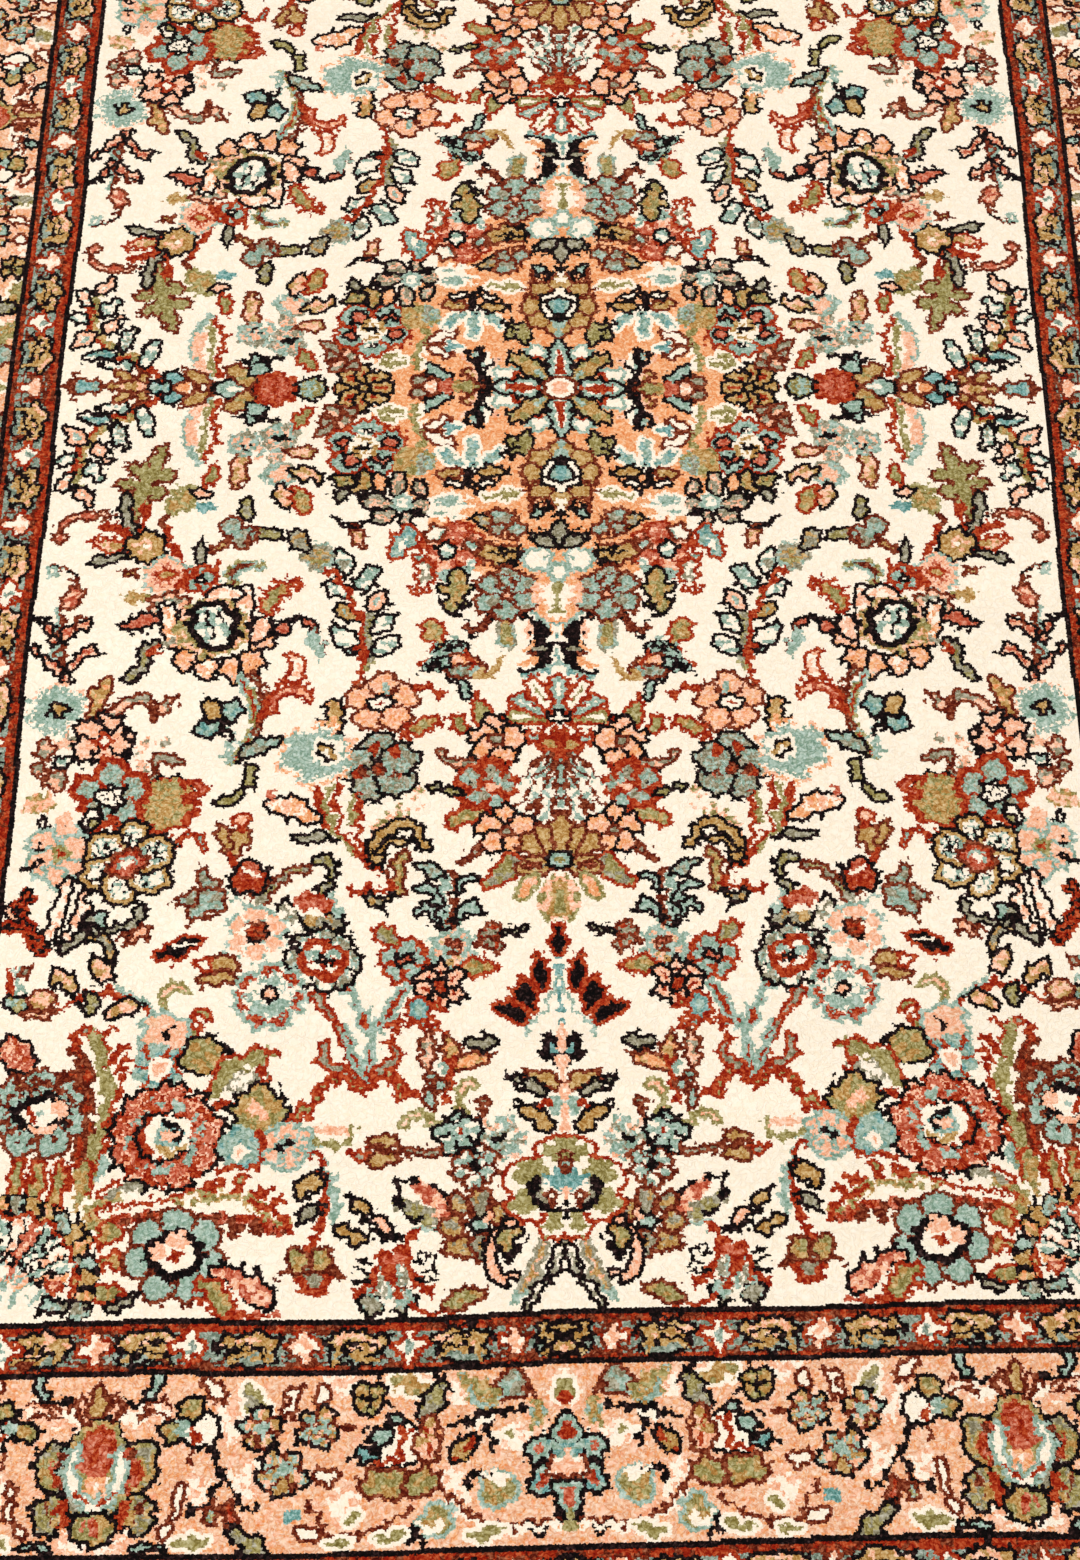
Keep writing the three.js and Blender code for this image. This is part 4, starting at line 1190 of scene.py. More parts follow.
# Flowers and leaves of the border's corner, about its middle
BORDER_CORNER = (
    ("black sky coral", bloom(0, 0, 12, 6, 45, "brown ivory+pink", 0.42)),
    ("black olive+taupe", blade(9, -9, 11, -45, 0, 7), blade(-9, 9, 11, 135, 0, 7)),
    ("brown gold+pink", blade(10, 8, 10, 45, 0, 6), blade(-9, -9, 11, 225, 0, 7)),
    ("sky+gold+olive", oval(2, -16, 8, 5, 20), oval(-16, 2, 5, 8, 20)),
    ("ivory/olive", blade(14, -2, 6, -10, 0, 4), blade(-2, 14, 6, 100, 0, 4)),
)

# Where the guard's rosettes stand: along half an end, and their pitch along a side
GUARD_END_PLACES = (-12, -37, -62, -88.5, -111, -133)
GUARD_SIDE_PITCH = 24.3

# Rosettes and leaves of a guard, each about its own middle
GUARD_PINK = (
    ("brown", line(1.2, (-5, 3.4), (0, 4), (5, 3.4)), line(1.2, (-5, -3.6), (0, -4), (5, -3.6))),
    ("brown+rust pink+ivory", rosette(0, 0, 4.9, 4, 90, 0.45)),
    ("pink+ivory", oval(0, 0, 3, 3)),
)
GUARD_IVORY = (
    ("brown", line(1.2, (-7, -2.6), (-4, -4), (0, -4.2), (4, -4), (7, -2.6))),
    ("rust ivory", rosette(0, 0, 5, 4, 90, 0.45, 0, None, "sky+slate", 0.26)),
)
GUARD_LEAF = (
    ("black slate", blade(5, -2.2, 14.6, -4, 8, 5.2)),
    ("black gold+gold+pink", blade(4.6, 1.2, 16.4, 4, -12, 7)),
    ("gold", line(1.6, (8.6, 1), (8, -3.2))),
    ("black", line(1.2, (9.6, -2.4), (12.4, -0.8), (15, -2.6)),
     line(1, (10.4, 0.8), (13.4, 1.6), (17.4, 0.2))),
    ("gold", line(1.4, (11.6, -1.8), (15, -2.2), (18, -3))),
)
GUARD_MIDDLE_LEAF = (
    ("black gold", oval(0, 2, 9, 4)),
    ("black gold+pink", oval(0, -2, 10, 4.4)),
)

# The bands of a guard from its inner side outwards: width in knots and dye
GUARD_BANDS = ((1.4, "black"), (2.2, "rust+rust+brown"), (7.6, "slate"), (1.4, "rust+brown"), (1.4, "black"))
GUARD_WIDTH = 14
GUARD_MIDDLE = 7
BORDER_WIDTH = 43

# Where the motifs of the main border have their base
BORDER_BASE = -340

# Half the field, and half the rug, in knots
FIELD_HALF_WIDTH = 143
FIELD_HALF_LENGTH = 284.6
RUG_HALF_WIDTH = KNOTS_ACROSS / 2
RUG_HALF_LENGTH = KNOTS_ALONG / 2

# Where the inner guard, the border, the outer guard, the plain edge and the rug's rim come: across the
# rug from its middle, and along it past the end of the field
SIDE_STARTS = (FIELD_HALF_WIDTH, 159, 200, 214, RUG_HALF_WIDTH)
END_DEPTHS = (0, GUARD_WIDTH, GUARD_WIDTH + BORDER_WIDTH, 2 * GUARD_WIDTH + BORDER_WIDTH, 76)


def past_field(chart):
    """How far each cell lies outside the field, by the measure of the ends."""
    beside = np.interp(np.abs(chart.x), SIDE_STARTS, END_DEPTHS, left=-1)
    return np.maximum(beside, np.abs(chart.y) - FIELD_HALF_LENGTH)


def paint_guard(chart, ragged, start):
    """A guard stripe round the rug: bands by distance outside the field, then rosettes and leaves."""
    outside = past_field(chart)
    edge = start
    for width, dye in GUARD_BANDS:
        chart.fill((outside >= edge) & (outside < edge + width), dye)
        edge += width
    across = np.interp(start + GUARD_MIDDLE, END_DEPTHS, SIDE_STARTS)
    along = FIELD_HALF_LENGTH + start + GUARD_MIDDLE
    clear_of_corner = 6
    added_clear_of_corner = 10
    end_places = [x for x in GUARD_END_PLACES if x > clear_of_corner - across]
    while end_places[-1] - GUARD_SIDE_PITCH > added_clear_of_corner - across:
        end_places.append(end_places[-1] - GUARD_SIDE_PITCH)
    side_steps = round(along / GUARD_SIDE_PITCH)
    spots = [(ragged.placed(x, -along), step) for step, x in enumerate(end_places)]
    for step in range(side_steps + 1):
        y = -along * step / side_steps
        spots.append((ragged.placed(-across, y, -90, -1), step))
    for spot, step in spots:
        if step % 2 == 0:
            spot.draw(GUARD_LEAF)
            spot.placed(0, 0, 0, -1).draw(GUARD_LEAF)
    ragged.placed(0, -along).draw(GUARD_MIDDLE_LEAF)
    for spot, step in spots:
        spot.draw(GUARD_PINK if step % 2 == 0 else GUARD_IVORY)


def paint_border(chart, ragged):
    """The main border: its ground, the unit repeated and mirrored along the end and the side, the corner
    and a plain dark edge outside the outer guard."""
    outside = past_field(chart)
    ground = "salmon+salmon+peach+salmon+pink"
    unit = 109
    brown_edge = 2.4
    chart.fill(outside >= GUARD_WIDTH, ground)
    along_end = np.abs(ragged.x % (2 * unit) - unit) - unit
    along_side = np.abs(ragged.y % (2 * unit) - unit) - unit
    side_y = ragged.x + FIELD_HALF_WIDTH - FIELD_HALF_LENGTH
    ragged.sharing(along_end, ragged.y).placed(0, BORDER_BASE).draw(BORDER_UNIT)
    ragged.sharing(along_side, side_y).placed(0, BORDER_BASE).draw(BORDER_UNIT)
    side_start = SIDE_STARTS[1]
    end_start = FIELD_HALF_LENGTH + GUARD_WIDTH
    chart.fill((chart.x < -side_start) & (chart.y < -end_start), ground)
    half = BORDER_WIDTH / 2
    ragged.placed(-side_start - half, -end_start - half).draw(BORDER_CORNER)
    chart.fill(outside >= END_DEPTHS[3], "rust+brown")
    chart.fill(outside >= END_DEPTHS[3] + brown_edge, "black")


def quarter_chart():
    """One quarter of the design and a little past both middle lines, drawn from the centre outwards."""
    past_middle = 14
    chart = Chart(-RUG_HALF_WIDTH - 4, past_middle, -RUG_HALF_LENGTH - 4, past_middle, "ivory")
    down, half = np.array(MEDALLION_GROUND).T
    chart.dye[np.abs(chart.x) < np.interp(np.abs(chart.y), down, half)] = INK["peach"]
    ragged = chart.ragged(8)
    for rows, x, y in FIELD:
        ragged.placed(x, y).draw(rows)
    paint_border(chart, ragged)
    paint_guard(chart, ragged, 0)
    paint_guard(chart, ragged, GUARD_WIDTH + BORDER_WIDTH)
    return chart


# How the woven design strays from its chart, as hand weaving does: the middle line lies off centre, one
# half is wider than the other, the rows climb from side to side towards the ends, and edges waver
MIDDLE_OFFSET = 3.1
HALF_STRETCH = 0.0177
ROW_CLIMB = 0.021
CLIMB_REACH = 110
WAVER = 0.45
WAVER_LENGTH = 17


@functools.cache
def woven_cells():
    """The dye number of each half-knot cell of the whole rug. A cell looks up the quarter chart where the
    weaver's drift puts it, so the four quarters repeat the design and none is quite like another."""
    chart = quarter_chart()
    across = np.arange(-RUG_HALF_WIDTH, RUG_HALF_WIDTH, CELL) + CELL / 2
    along = np.arange(-RUG_HALF_LENGTH, RUG_HALF_LENGTH, CELL) + CELL / 2
    x, y = np.meshgrid(across, along)
    k = x - MIDDLE_OFFSET * (1 - (np.abs(x) / RUG_HALF_WIDTH) ** 8)
    edge_ease = 1 - (np.abs(x) / RUG_HALF_WIDTH) ** 8
    k = k * (1 - np.where(k < 0, HALF_STRETCH, -HALF_STRETCH) * edge_ease)
    end_ease = 1 - (np.abs(y) / RUG_HALF_LENGTH) ** 16
    climb = ROW_CLIMB * CLIMB_REACH * np.tanh(k / CLIMB_REACH) * np.abs(y) / FIELD_HALF_LENGTH
    j = y - climb * end_ease
    k = k + WAVER * np.sin(y / WAVER_LENGTH + 2 * np.sin(x / 41)) * edge_ease
    j = j + WAVER * np.sin(x / WAVER_LENGTH + 2 * np.sin(y / 37)) * end_ease
    column = np.floor((-np.abs(k) - chart.x[0, 0]) / CELL + 0.5).astype(int)
    row = np.floor((-np.abs(j) - chart.y[0, 0]) / CELL + 0.5).astype(int)
    return chart.dye[np.clip(row, 0, chart.dye.shape[0] - 1), np.clip(column, 0, chart.dye.shape[1] - 1)]


def swayed(x, y):
    """The outline's stray from a true rectangle: x gains a slow sine of y, and a share of itself that is
    greatest in the middle; y gains a sine of x that grows with the square of the distance from the middle.
    Inside the outline the rows bend to either side of the middle line, more towards the near end, and the
    side guards are drawn in by powers of x that come to nothing in the middle and at the sides."""
    lengthwise = y / HALF_LENGTH
    sway = SIDE_SWAY * np.sin(lengthwise * SIDE_SWAY_LENGTHS * np.pi)
    swell = WIDTH_SWELL * np.cos(lengthwise * np.pi / 2) * x / HALF_WIDTH
    stray = END_SWAY * np.sin(x / HALF_WIDTH * END_SWAY_LENGTHS * np.pi)
    near = np.clip(-y / PILE_HALF_LENGTH, 0, 1)
    bend = ROW_BEND * np.tanh(x / ROW_BEND_REACH) * near**4 * (1 - near**ROW_BEND_END)
    side = np.clip(np.abs(x) / PILE_HALF_WIDTH, 0, 1)
    pinch = SIDE_PINCH * np.sign(x) * side**4 * (1 - side**8)
    return x + sway + swell - pinch, y + stray * lengthwise**2 * np.sign(y) + bend


def rounded_edge(distance, foot):
    """The pile's height at a distance inside its edge: a quarter of an ellipse up from the foot."""
    run = np.clip(1 - distance / PILE_EDGE_RUN, 0, 1)
    return foot + (PILE_TOP - foot) * np.sqrt(1 - run**2)


def grid_mesh(name, x, y, z):
    """A mesh of quads over a grid of points, given as three arrays of rows by columns."""
    rows, columns = x.shape
    points = np.stack([x, y, z], axis=-1).reshape(-1, 3)
    index = np.arange(rows * columns).reshape(rows, columns)
    corners = np.stack([index[:-1, :-1], index[:-1, 1:], index[1:, 1:], index[1:, :-1]], axis=-1)
    return mesh_from(name, points, corners.reshape(-1, 4))


def mesh_from(name, points, quads):
    """A smooth-shaded mesh from an array of points and an array of quads."""
    mesh = bpy.data.meshes.new(name)
    mesh.vertices.add(len(points))
    mesh.vertices.foreach_set("co", points.astype(np.float32).ravel())
    mesh.loops.add(quads.size)
    mesh.loops.foreach_set("vertex_index", quads.astype(np.int32).ravel())
    mesh.polygons.add(len(quads))
    mesh.polygons.foreach_set("loop_start", np.arange(0, quads.size, 4, dtype=np.int32))
    mesh.update(calc_edges=True)
    mesh.polygons.foreach_set("use_smooth", np.ones(len(quads), bool))
    mesh.validate()
    return mesh


def add_cells(mesh, cells, rows, columns):
    """Gives each face the dye numbers of its own two by two cells and of the cells round them: one number
    for each of four rows, whose base-16 digits are the dyes from left to right."""
    framed = np.pad(cells, 1, mode="edge")
    for line in range(CELLS_READ):
        total = np.zeros((rows, columns))
        for place in range(CELLS_READ):
            dye = framed[line : line + 2 * rows : 2, place : place + 2 * columns : 2][:rows, :columns]
            total = total * DYE_BASE + dye
        attribute = mesh.attributes.new(f"cells_{line}", "FLOAT", "FACE")
        attribute.data.foreach_set("value", total.astype(np.float32).ravel())


def add_knot_map(mesh, faces):
    """A UV map that gives each face its own unit square, to place a point inside its knot."""
    square = np.array([(0, 0), (1, 0), (1, 1), (0, 1)], np.float32)
    layer = mesh.uv_layers.new(name="Knot")
    layer.uv.foreach_set("vector", np.tile(square, (faces, 1)).ravel())


def add_bake_map(mesh, rows, columns, folds):
    """A UV map for the whole piece: its rows are folded into side by side columns that fill the square."""
    row, column = np.meshgrid(np.arange(rows), np.arange(columns), indexing="ij")
    fold_rows = -(-rows // folds)
    fold = row // fold_rows
    u = np.stack([column, column + 1, column + 1, column], axis=-1) / columns
    v = np.stack([row, row, row + 1, row + 1], axis=-1) - (fold * fold_rows)[..., None]
    v = v / fold_rows
    usable = 1 - 2 * MAP_MARGIN
    u = (fold[..., None] + MAP_MARGIN + usable * u) / folds
    v = MAP_MARGIN + usable * v
    layer = mesh.uv_layers.new(name="OFBake")
    layer.uv.foreach_set("vector", np.stack([u, v], axis=-1).astype(np.float32).ravel())


def linked(name, data):
    """An object of the scene with the given mesh, camera or light."""
    thing = bpy.data.objects.new(name, data)
    bpy.context.scene.collection.objects.link(thing)
    return thing


def add_piece(name, mesh, material):
    """Makes a finished mesh a piece of the rug that rides on its body."""
    piece = linked(name, mesh)
    mesh.materials.append(material)
    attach(piece, BODY)
    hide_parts(RUG_NODE)
    return piece


class Nodes:
    """Short ways to add and join the nodes of one material."""

    def __init__(self, name):
        self.material = bpy.data.materials.new(name)
        self.material.use_nodes = True
        self.tree = self.material.node_tree
        self.shader = self.tree.nodes["Principled BSDF"]

    def new(self, kind, inputs=None, **settings):
        """A node with its settings, and with the values or outputs given for its inputs."""
        node = self.tree.nodes.new("ShaderNode" + kind)
        for name, value in settings.items():
            setattr(node, name, value)
        self.fill(node, inputs or {})
        return node

    def fill(self, node, inputs):
        """Joins outputs to a node's inputs, and sets the other given inputs to constants."""
        for name, value in inputs.items():
            if isinstance(value, bpy.types.NodeSocket):
                self.tree.links.new(value, node.inputs[name])
            else:
                node.inputs[name].default_value = value

    def math(self, operation, *values):
        return self.new("Math", dict(enumerate(values)), operation=operation).outputs[0]

    def mix(self, share, first, second, blend="MIX"):
        inputs = {0: share, 6: first, 7: second}
        return self.new("Mix", inputs, data_type="RGBA", blend_type=blend).outputs[2]

    def object_point(self, scale=(1, 1, 1)):
        """The point on the piece, in metres, each axis scaled."""
        place = self.new("TexCoord").outputs["Object"]
        return self.new("Mapping", {"Vector": place, "Scale": scale}).outputs[0]

    def noise(self, point, size, detail=2.0, roughness=0.5, distortion=0.0, output="Fac"):
        """Smooth noise whose lumps are about size metres across."""
        inputs = {"Vector": point, "Scale": 1 / size, "Detail": detail, "Roughness": roughness,
                  "Distortion": distortion}
        return self.new("TexNoise", inputs).outputs[output]

    def ramp(self, value, low, high, first=0, last=1):
        """A value's place between low and high, held to them, as a number from first to last."""
        inputs = {"Value": value, "From Min": low, "From Max": high, "To Min": first, "To Max": last}
        return self.new("MapRange", inputs).outputs[0]

    def knot_corner(self):
        """The place inside the knot of a point on the piece."""
        return self.new("SeparateXYZ", {0: self.new("UVMap", uv_map="Knot").outputs[0]})

    def dye_ramp(self, number, colours):
        """Steps from colour to colour, one for each dye number."""
        node = self.new("ValToRGB")
        node.color_ramp.interpolation = "CONSTANT"
        stops = node.color_ramp.elements
        while len(stops) < len(colours):
            stops.new(0.99)
        for place, colour in enumerate(colours):
            stops[place].position = place / DYE_BASE
            stops[place].color = (*colour, 1)
        self.fill(node, {0: self.math("DIVIDE", self.math("ADD", number, 0.5), DYE_BASE)})
        return node.outputs[0]

    def bump(self, height, strength, distance):
        inputs = {"Height": height, "Strength": strength, "Distance": distance}
        return self.new("Bump", inputs).outputs[0]

    def finish(self, inputs):
        """The material, its shader's inputs filled."""
        self.fill(self.shader, inputs)
        return self.material


def dye_number(n, corner, jitter_point, jitter_size, jitter):
    """The dye at a point of a face: its place among the four by four cells, shaken by noise so that the
    edges of the colours waver, picks a row's number and then one of that number's four digits."""
    shake = n.new("SeparateColor", {0: n.noise(jitter_point, jitter_size, 1.0, output="Color")})
    places = []
    for axis in range(2):
        moved = n.math("MULTIPLY_ADD", corner.outputs[axis], 2.0, 1.0)
        shaken = n.math("MULTIPLY_ADD", n.math("SUBTRACT", shake.outputs[axis], 0.5), jitter, moved)
        cell = n.math("FLOOR", shaken)
        places.append(n.math("MINIMUM", n.math("MAXIMUM", cell, 0.0), CELLS_READ - 1.0))
    column, line = places
    number = 0.0
    for step in range(CELLS_READ):
        attribute = n.new("Attribute", attribute_name=f"cells_{step}")
        chosen = n.math("COMPARE", line, float(step), 0.1)
        number = n.math("MULTIPLY_ADD", attribute.outputs["Fac"], chosen, number)
    size = n.math("POWER", float(DYE_BASE), n.math("SUBTRACT", CELLS_READ - 1.0, column))
    shifted = n.math("FLOOR", n.math("ADD", n.math("DIVIDE", number, size), 0.0001))
    return n.math("MODULO", shifted, float(DYE_BASE))


def shaded(n, colour, noise, low, high, dark, light):
    """A colour made darker and lighter by noise: shares of it between two places of the noise's range."""
    grey = n.ramp(noise, low, high, dark, light)
    tint = n.new("CombineColor", {0: grey, 1: grey, 2: grey})
    return n.mix(1.0, colour, tint.outputs[0], "MULTIPLY")


def curled_fibres(n, point):
    """How far a place stands out of the gaps between the curled tips of the fibres, from 0 to 1: thin gaps
    wind where a noise crosses its middle value, and a finer noise breaks up the tips between them."""
    winding = n.noise(point, 0.0046, 2.0, 0.6, 0.9)
    tips = n.ramp(n.math("ABSOLUTE", n.math("SUBTRACT", winding, 0.5)), 0.0, 0.075)
    grain = n.ramp(n.noise(point, 0.0021, 3.0, 0.65), 0.34, 0.66)
    return n.math("MULTIPLY_ADD", tips, 0.5, n.math("MULTIPLY", grain, 0.5))


def painted_fibre_shade_and_highlight(n, colour, number, fibre, light, gap_shade_power, ivory_share):
    """Painted shade and painted highlight: a dye raised to a power that falls from the gaps between the
    fibres to their tips, so the gaps are painted darker and richer and the tips lighter; ivory takes a share
    only."""
    ivory = n.math("LESS_THAN", number, 0.5)
    strength = n.math("MULTIPLY_ADD", ivory, ivory_share - 1.0, 1.0)
    change = n.ramp(fibre, 0, 1, gap_shade_power - 1.0, light - 1.0)
    power = n.math("MULTIPLY_ADD", change, strength, 1.0)
    return n.new("Gamma", {"Color": colour, "Gamma": power}).outputs[0]


def silk_pile_material(dyes, companions):
    """Clipped silk: dyes laid knot by knot, each mottled with its companion shade, with painted shade in the
    gaps between the curled fibres and painted highlights on their tips, streaked by batches of yarn along
    the rug, with a soft sheen and the tufts' relief."""
    n = Nodes("silk_pile")
    corner = n.knot_corner()
    point = n.object_point()
    number = dye_number(n, corner, point, 0.0013, 1.9)
    mottle = n.ramp(n.noise(point, 0.0026, 3.0, 0.65), 0.42, 0.64)
    colour = n.mix(mottle, n.dye_ramp(number, dyes), n.dye_ramp(number, companions))
    fibre = curled_fibres(n, point)
    # painted shade in the gaps between the fibres and painted highlight on their tips
    colour = painted_fibre_shade_and_highlight(n, colour, number, fibre, 0.62, 2.0, 0.35)
    batch = n.noise(n.object_point((0.3, 7, 1)), 0.25, 4.0, 0.6)
    colour = shaded(n, colour, batch, 0.3, 0.7, 0.965, 1.02)
    across = n.math("ABSOLUTE", n.math("SUBTRACT", corner.outputs[0], 0.5))
    along = n.math("ABSOLUTE", n.math("SUBTRACT", corner.outputs[1], 0.5))
    rim = n.math("POWER", n.math("MULTIPLY", n.math("MAXIMUM", across, along), 2.0), 2.5)
    height = n.math("SUBTRACT", n.math("MULTIPLY", fibre, 1.2), n.math("MULTIPLY", rim, 0.22))
    return n.finish({
        "Base Color": colour, "Roughness": n.ramp(fibre, 0, 1, 0.5, 0.7),
        "Normal": n.bump(height, 0.6, 0.0007), "Specular IOR Level": 0.05,
        "Sheen Weight": 0.03, "Sheen Roughness": 0.35, "Sheen Tint": (1.0, 0.96, 0.9, 1),
    })


def knotted_back_material(dyes):
    """The back of the rug: each knot shows as two small nodes of its dye between the wefts."""
    n = Nodes("knotted_back")
    corner = n.knot_corner()
    point = n.object_point()
    number = dye_number(n, corner, point, 0.004, 0.5)
    ply = n.noise(point, 0.0014, 2.0, 0.6)
    colour = shaded(n, n.dye_ramp(number, dyes), ply, 0.3, 0.7, 0.75, 1.06)
    waves = []
    for axis, loops in ((0, 4), (1, 2)):
        phase = n.math("MULTIPLY", corner.outputs[axis], np.pi * loops)
        waves.append(n.math("ABSOLUTE", n.math("SINE", phase)))
    knot = n.math("MULTIPLY", waves[0], waves[1])
    colour = n.mix(n.ramp(knot, 0.05, 0.35), (0.62, 0.55, 0.44, 1), colour)
    return n.finish({
        "Base Color": colour, "Roughness": n.ramp(ply, 0, 1, 0.55, 0.75),
        "Normal": n.bump(knot, 0.7, 0.0006), "Specular IOR Level": 0.2, "Sheen Weight": 0.05,
    })


def thread_material(name, base, shade, ply, sheen):
    """Wound or woven thread: one dye with darker and lighter plies, fine slanting fibres and a sheen."""
    n = Nodes(name)
    tone = n.noise(n.object_point(), 0.006, 4.0, 0.65)
    fibre = n.noise(n.object_point(ply), 0.0012, 3.0, 0.7)
    colour = n.mix(n.ramp(tone, 0.3, 0.7), (*base, 1), (*shade, 1))
    colour = shaded(n, colour, fibre, 0.3, 0.7, 0.75, 1.1)
    return n.finish({
        "Base Color": colour, "Roughness": n.ramp(fibre, 0, 1, 0.45, 0.7),
        "Normal": n.bump(fibre, 0.5, 0.0004), "Specular IOR Level": 0.2, "Sheen Weight": sheen,
    })


def floor_material():
    """Pale matt studio floor with a faint cloudy tone and a fine grain."""
    n = Nodes("studio_floor")
    point = n.object_point()
    tone = n.ramp(n.noise(point, 0.9, 3.0), 0.3, 0.7)
    return n.finish({
        "Base Color": n.mix(tone, (0.74, 0.73, 0.71, 1), (0.79, 0.78, 0.76, 1)), "Roughness": 0.85,
        "Normal": n.bump(n.noise(point, 0.004, 2.0), 0.1, 0.001),
    })


def pile_strip(index, cells, relief, material):
    """One lengthwise strip of the pile: a vertex at every knot's corner, lifted to the clipped height."""
    columns = KNOTS_ACROSS // PILE_STRIPS
    first = index * columns
    column = np.arange(first, first + columns + 1)
    row = np.arange(KNOTS_ALONG + 1)
    x, y = np.meshgrid((column - KNOTS_ACROSS / 2) * KNOT, (row - KNOTS_ALONG / 2) * KNOT)
    side = rounded_edge(PILE_HALF_WIDTH - np.abs(x), SIDE_FOOT)
    end = rounded_edge(PILE_HALF_LENGTH - np.abs(y), END_FOOT)
    z = np.minimum(side, end) + relief[:, first : first + columns + 1]
    mesh = grid_mesh(f"pile_{index + 1}", *swayed(x, y), z)
    add_cells(mesh, cells[:, 2 * first : 2 * (first + columns)], KNOTS_ALONG, columns)
    add_knot_map(mesh, KNOTS_ALONG * columns)
    add_bake_map(mesh, KNOTS_ALONG, columns, MAP_FOLDS)
    return add_piece(mesh.name, mesh, material)


def pile_relief(rise):
    """Uneven clipping: knot by knot roughness and lower, wider swells, all below the clipped height."""
    swell_evening = 24
    draw = np.random.default_rng(12)
    corners = (KNOTS_ALONG + 1, KNOTS_ACROSS + 1)
    fine = draw.normal(size=corners)
    wide = smoothed(draw.normal(size=corners), swell_evening)
    uneven = 0.3 * fine / fine.std() + 0.5 * wide / wide.std()
    return rise * np.clip(uneven - 1, -3, 0)


def back_mesh():
    """The woven back: a flat grid of faces two knots wide on the underside."""
    columns, rows = KNOTS_ACROSS // 2, KNOTS_ALONG // 2
    x, y = np.meshgrid(np.linspace(-PILE_HALF_WIDTH, PILE_HALF_WIDTH, columns + 1),
                       np.linspace(PILE_HALF_LENGTH, -PILE_HALF_LENGTH, rows + 1))
    return grid_mesh("foundation", *swayed(x, y), np.zeros_like(x)), rows, columns


def foundation_piece(cells, material):
    """The foundation's underside, which shows the knots of the design from behind. Its rows run from the
    far end to the near one, so its faces look down."""
    mesh, rows, columns = back_mesh()
    knots = cells[1::2, 1::2][::-1]
    add_cells(mesh, knots, rows, columns)
    add_knot_map(mesh, rows * columns)
    add_bake_map(mesh, rows, columns, 2)
    return add_piece("foundation", mesh, material)


def closed_tube(name, place, side_first):
    """A tube given by the places of its points, ring after ring: its walls, and a fan of quads that closes
    each end. The rings run along X if side_first, else along Y, so that the faces look out."""
    x, y, z = np.broadcast_arrays(*place)
    points = np.stack([*swayed(x, y), z], axis=-1).reshape(-1, 3)
    rings, points_round = x.shape
    index = np.arange(rings * points_round).reshape(rings, points_round)
    turned = np.roll(index, -1, axis=1)
    walls = np.stack([index[:-1], turned[:-1], turned[1:], index[1:]], axis=-1).reshape(-1, 4)
    left = np.arange(points_round // 2 - 1)
    right = points_round - 1 - left
    cap = np.stack([left, left + 1, right - 1, right], axis=-1)
    last = (rings - 1) * points_round
    quads = np.vstack([walls, cap[:, ::-1], cap + last])
    if not side_first:
        quads = quads[:, ::-1]
    return mesh_from(name, points, quads)


def side_cord(side, label, wrap_pitch, material):
    """An overcast cord: an oval section along the rug's side whose radius rises and falls once for each
    turn of the wrapping thread, slanted a little, and which thins at the end webs."""
    points_round = 10
    steps_per_turn = 3
    lump_evening = 12
    tip_length = 3 * MM
    reach = HALF_LENGTH - 1 * MM
    turns = int(2 * reach / wrap_pitch)
    y = np.linspace(-reach, reach, turns * steps_per_turn + 1)[:, None]
    angle = np.linspace(0, 2 * np.pi, points_round, endpoint=False)
    draw = np.random.default_rng(5)
    lumps = smoothed(draw.normal(size=(len(y), 1)), lump_evening)
    thread = np.abs(np.sin(np.pi * y / wrap_pitch + angle)) ** 0.6
    swell = 0.9 + 0.09 * thread + 0.006 * lumps / lumps.std()
    end = np.minimum(1, END_FOOT / CORD_HEIGHT + rounded_edge(PILE_HALF_LENGTH - np.abs(y), 0) / PILE_TOP)
    tip = np.sqrt(np.clip((HALF_LENGTH - np.abs(y)) / tip_length, 0.02, 1))
    half_wide = CORD_WIDTH / 2 * swell * tip
    half_high = CORD_HEIGHT / 2 * swell * end * tip
    x = side * (PILE_HALF_WIDTH + CORD_WIDTH / 2 - 0.1 * MM) + half_wide * np.cos(angle)
    z = CORD_HEIGHT / 2 * end + half_high * np.sin(angle)
    name = f"side_cord_{label}"
    return add_piece(name, closed_tube(name, (x, y, z), side_first=False), material)


def end_web(side, label, warp_pitch, material):
    """A plain woven web: a flat oval section along the rug's end, ribbed by the warps that run through it
    and lifted and lowered by the wefts in turn."""
    points_round = 16
    steps_per_warp = 2
    flatness = 0.5
    tip_length = 2 * MM
    half = PILE_HALF_WIDTH - 0.3 * MM
    warps = int(2 * half / warp_pitch)
    x = np.linspace(-half, half, warps * steps_per_warp + 1)[:, None]
    angle = np.linspace(0, 2 * np.pi, points_round, endpoint=False)
    out = np.sign(np.cos(angle)) * np.abs(np.cos(angle)) ** flatness
    up = np.sign(np.sin(angle)) * np.abs(np.sin(angle)) ** flatness
    rib = np.cos(2 * np.pi * x / warp_pitch) * np.cos(4 * np.pi * out)
    tip = np.sqrt(np.clip((half - np.abs(x)) / tip_length, 0.02, 1))
    centre_y = side * (PILE_HALF_LENGTH + WEB_LENGTH / 2 - 0.2 * MM)
    ring_out = WEB_LENGTH / 2 * out
    ring_up = END_FOOT / 2 * (0.92 + 0.08 * rib) * tip * up
    name = f"end_web_{label}"
    points = (x, centre_y + ring_out, END_FOOT / 2 + ring_up)
    return add_piece(name, closed_tube(name, points, side_first=True), material)


def colour_property(name, words, value):
    return bpy.props.FloatVectorProperty(
        name=name, description=words, subtype="COLOR", size=3, min=0, max=1, default=value)


def number_property(name, words, value, unit="LENGTH"):
    return bpy.props.FloatProperty(name=name, description=words, default=value, unit=unit)


